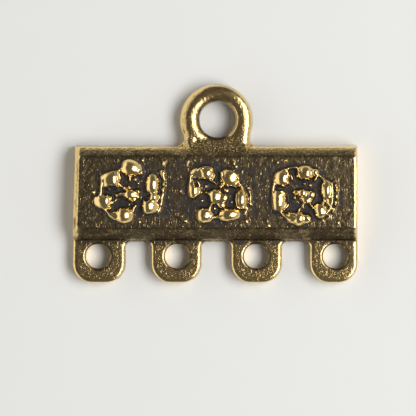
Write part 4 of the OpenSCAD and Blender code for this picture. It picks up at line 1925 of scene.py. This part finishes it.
@dataclass
class Casting:
    """The whole connector, fused into one mesh."""

    holes: Holes
    voxel: float = 0.038
    ground: float = 2.0
    main_hole_flare: float = 0.1
    web_overlap: float = 0.1
    legs: tuple[Leg, ...] = (
        Leg("left_leg", (-1.70, 4.35), (-1.66, 2.45)), Leg("right_leg", (2.05, 4.50), (1.86, 2.40)))
    rosettes: tuple[Rosette, ...] = (LEFT_ROSETTE, MIDDLE_ROSETTE, RIGHT_ROSETTE)
    triangles: int = 190_000
    skin_passes: int = 2
    neck_passes: int = 16
    neck_y: float = 2.8
    neck_squash: float = 1.6
    neck_reach: Span = (2.2, 3.0)
    neck_z: Span = (0.7, 1.0)
    crease_passes: int = 40
    crease_reach: Span = (0.25, 0.5)
    crease_rise: Span = (1.5, 1.7)
    crease_lift: Span = (0.03, 0.10)
    joint_passes: int = 30
    joint_reach: Span = (0.15, 0.4)
    joint_z: Span = (0.8, 0.95)
    grain_low: Span = (0.05, 0.2)
    grain_rise: Span = (-3.5, -3.0)
    grain_fall: Span = (1.7, 2.1)
    grain_petal_y: Span = (1.8, 2.3)
    face_up: Span = (0.3, 0.8)
    petal_up: Span = (0.2, 0.7)
    foot_rise: Span = (1.9, 2.3)
    foot_fall: Span = (3.5, 4.0)
    foot_x: Span = (1.0, 1.4)
    grains: tuple[Grain, ...] = (
        Grain("CLOUDS", 0.50, 0.035, "field", {"noise_depth": 1}),
        Grain("CLOUDS", 0.13, 0.014, "field", {"noise_depth": 2}),
        Grain("CLOUDS", 0.16, 0.016, "face", {"noise_depth": 2}),
        Grain("CLOUDS", 0.24, 0.014, "petals", {"noise_depth": 1}),
        Grain("CLOUDS", 0.20, 0.026, "arm_foot", {"noise_depth": 1}))

    def rough_out(self) -> Workpiece:
        """Makes the plain forms and fuses them into one closed skin.

        Returns:
            The fused casting.
        """
        plate = BasePlate(self.holes).build()
        slab = Slab().build()
        ring = MainLoop(self.holes).build()
        legs = [leg.build() for leg in self.legs]
        web = Web().build()
        for solid, top in ((plate, BasePlate.thickness), (web, Web.high_top + self.web_overlap)):
            drill = hole_cutter("main_drill", self.holes.main_r, self.main_hole_flare, top, self.holes.main)
            solid.cut(drill)
        flowers = [rosette.build() for rosette in self.rosettes]
        parts = [slab, ring, web, *legs, *flowers]
        for part in (plate, *parts):
            log.info("%s: %d faces", part.piece.name, len(part.piece.data.polygons))
        plate.join(parts)
        plate.modify("REMESH", mode="VOXEL", voxel_size=self.voxel)
        log.info("fused: %d faces", len(plate.piece.data.polygons))
        return plate

    def soften(self, work: Workpiece) -> None:
        """Takes the steps of the fusing off the skin, and eases the places where forms meet.

        Args:
            work: the fused casting.
        """
        work.modify("SMOOTH", factor=SMOOTHING, iterations=self.skin_passes)
        points = work.points()
        spot = np.hypot(points[:, 0] - MainLoop.x, (points[:, 1] - self.neck_y) * self.neck_squash)
        neck = (1 - ramp(spot, *self.neck_reach)) * ramp(points[:, 2], *self.neck_z)
        self.ease(work, "neck", neck, self.neck_passes)
        points = work.points()
        gap = np.minimum(np.abs(points[:, 1] - (Slab.high - Slab.top_band)),
                         np.abs(points[:, 1] - (Slab.low + Slab.low_band)))
        crease = (1 - ramp(gap, *self.crease_reach)) * ramp(points[:, 2], *self.crease_rise)
        self.ease(work, "crease", crease * self.below(points, self.crease_lift), self.crease_passes)
        points = work.points()
        joint = 1 - ramp(np.abs(points[:, 1] - Slab.low), *self.joint_reach)
        joint *= ramp(points[:, 2], *self.joint_z) * self.holes.over_tabs(points)
        self.ease(work, "joint", joint, self.joint_passes)

    @staticmethod
    def ease(work: Workpiece, region: str, weights: np.ndarray, passes: int) -> None:
        """Smooths one region of the skin.

        Args:
            work: the fused casting.
            region: the region's name.
            weights: how much each vertex takes part, from 0 to 1.
            passes: how often the region is smoothed.
        """
        work.weigh(region, weights)
        work.modify("SMOOTH", factor=SMOOTHING, iterations=passes, vertex_group=region)

    def below(self, points: np.ndarray, lift: Span) -> np.ndarray:
        """Finds the places that don't stand above the field.

        Args:
            points: places on the casting, one row each.
            lift: heights above the field between which the share falls.

        Returns:
            A share from 0 to 1 for each place.
        """
        return 1 - ramp(points[:, 2], self.ground + lift[0], self.ground + lift[1])

    def build(self) -> bpy.types.Object:
        """Makes, textures and finishes the casting.

        Returns:
            The finished object, in metres.
        """
        work = self.rough_out()
        work.piece.name = "connector_casting"
        work.piece.data.name = "connector_casting"
        self.soften(work)
        self.press_grain(work)
        face = Surface(work, self.holes, self.ground, self.voxel)
        # Painted shade on outer walls facing +X or +Y, or -Y near the joint; it darkens both attributes
        # below.
        painted_wall_shade = PaintedWallShade().on(face)
        # Rubbed gold, with painted shade on some walls and painted reflection on the main loop's edges.
        work.attribute("wear", WearAndPaintedLight().on(face, painted_wall_shade))
        # Dark patina, with the painted wall shade.
        work.attribute("grime", GrimeAndShade().on(face, self.rosettes, painted_wall_shade))
        work.attribute("fleck", Flecks().on(face))
        faces = len(work.piece.data.polygons)
        work.modify("DECIMATE", ratio=min(1.0, self.triangles / (2 * faces)))
        work.piece.scale = (MM, MM, MM)
        work.settle()
        work.activate()
        bpy.ops.object.shade_smooth()
        work.piece.data.materials.clear()
        work.piece.data.materials.append(AntiqueGold().material())
        return work.piece

    def press_grain(self, work: Workpiece) -> None:
        """Presses the cast texture into the face.

        Args:
            work: the softened casting.
        """
        points, normals = work.points(), work.normals()
        y = points[:, 1]
        facing = ramp(normals[:, 2], *self.face_up)
        on_field = facing * ramp(y, *self.grain_rise) * (1 - ramp(y, *self.grain_fall))
        low = self.below(points, self.grain_low)
        work.weigh("field", on_field * low)
        work.weigh("face", facing * low * (1 - 0.5 * on_field))
        crowns = (1 - low) * ramp(normals[:, 2], *self.petal_up)
        work.weigh("petals", crowns * (1 - ramp(y, *self.grain_petal_y)))
        foot = between(y, self.foot_rise, self.foot_fall) * (1 - ramp(points[:, 0], *self.foot_x))
        work.weigh("arm_foot", foot * facing)
        for grain in self.grains:
            grain.press(work)
        log.info("grain pressed in %d layers", len(self.grains))


@dataclass
class Studio:
    """Pale floor, one soft light from the right, a dim sky and the camera straight above."""

    view_w: float = 29.2 * MM
    aim_x: float = -0.49 * MM
    aim_y: float = -1.72 * MM
    distance: float = 0.26
    sensor: float = 36.0
    light_distance: float = 0.40
    light_tilt: float = math.radians(35)
    light_turn: float = math.radians(-4)
    light_w: float = 0.22
    light_h: float = 0.46
    light_power: float = 1.59
    light_tone: tuple[float, float, float] = (1.0, 0.985, 0.96)
    floor_tone: tuple[float, float, float, float] = (0.835, 0.845, 0.84, 1.0)
    floor_w: float = 3.0
    room_tone: tuple[float, float, float, float] = (1.0, 0.99, 0.97, 1.0)
    left_card: float = 0.98
    right_card: float = 0.42
    back_card: float = 0.10
    front_card: float = 0.02
    dim: float = 0.14
    card_rise: float = 1.19
    low_rise: float = 3.0

    def camera(self) -> None:
        """Puts the camera over the connector, looking straight down."""
        lens = bpy.data.cameras.new("camera")
        lens.sensor_width = self.sensor
        lens.lens = self.sensor * self.distance / self.view_w
        lens.clip_start = 0.01
        lens.clip_end = 10.0
        eye = bpy.data.objects.new("camera", lens)
        eye.location = (self.aim_x, self.aim_y, self.distance)
        bpy.context.scene.collection.objects.link(eye)
        bpy.context.scene.camera = eye

    def floor(self) -> None:
        """Lays the pale floor under the connector."""
        bpy.ops.object.select_all(action="DESELECT")
        bpy.ops.mesh.primitive_plane_add(size=self.floor_w, location=(0.0, 0.0, 0.0))
        floor = bpy.context.object
        floor.name = "floor"
        material = bpy.data.materials.new("floor_paper")
        material.use_nodes = True
        bench = ShaderBench(material.node_tree)
        place = bench.node("ShaderNodeTexCoord", {}, {}, output="Object")
        tone = bench.noise(place, 300.0, 3.0)
        dark = tuple(0.985 * v for v in self.floor_tone[:3]) + (1.0,)
        shader = bench.node("ShaderNodeBsdfPrincipled", {}, {
            "Base Color": bench.blend(tone, dark, self.floor_tone), "Roughness": 0.9})
        bench.node("ShaderNodeOutputMaterial", {}, {"Surface": shader})
        floor.data.materials.append(material)

    def light(self) -> None:
        """Hangs the soft light up to the right."""
        lamp = bpy.data.lights.new("soft_light", "AREA")
        lamp.shape = "ELLIPSE"
        lamp.size = self.light_w
        lamp.size_y = self.light_h
        lamp.energy = self.light_power
        lamp.color = self.light_tone
        hung = bpy.data.objects.new("soft_light", lamp)
        tilt, turn = self.light_tilt, self.light_turn
        hung.location = self.light_distance * Vector(
            (math.sin(tilt) * math.cos(turn), math.sin(tilt) * math.sin(turn), math.cos(tilt)))
        hung.rotation_euler = Euler((0.0, tilt, turn))
        bpy.context.scene.collection.objects.link(hung)

    def sky(self) -> None:
        """Gives the room its light: dim overhead, with a white card low on each side."""
        world = bpy.data.worlds.new("room")
        bpy.context.scene.world = world
        world.use_nodes = True
        bench = ShaderBench(world.node_tree)
        ray = bench.node("ShaderNodeTexCoord", {}, {}, output="Generated")
        axes = [bench.node("ShaderNodeSeparateXYZ", {}, {0: ray}, output=axis) for axis in range(3)]
        x, y, z = axes
        left = (0.0 - x - z * self.card_rise).smooth(-0.14, 0.16) * (0.0 - x).smooth(0.20, 0.75)
        right = (x - z * self.card_rise).smooth(-0.04, 0.16) * x.smooth(0.20, 0.75)
        back = (y - z * self.low_rise).smooth(0.0, 0.5)
        front = (0.0 - y - z * self.low_rise).smooth(0.0, 0.5)
        light = left * self.left_card + right * self.right_card
        light = light + back * self.back_card + front * self.front_card + self.dim
        glow = bench.node("ShaderNodeBackground", {}, {"Color": self.room_tone, "Strength": light})
        bench.node("ShaderNodeOutputWorld", {}, {"Surface": glow})

    def build(self) -> None:
        """Sets up the whole studio."""
        self.camera()
        self.floor()
        self.light()
        self.sky()
        bpy.context.scene.view_settings.view_transform = "Standard"


def main() -> None:
    """Builds the studio and the connector."""
    logging.basicConfig(level=logging.INFO, format="%(message)s")
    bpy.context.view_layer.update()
    Studio().build()
    holes = Holes.from_record(frame["record"])
    casting = Casting(holes).build()
    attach(casting, BODY)
    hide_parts(NODE)
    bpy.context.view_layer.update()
    log.info("casting: %d faces", len(casting.data.polygons))


if __name__ == "__main__":
    main()
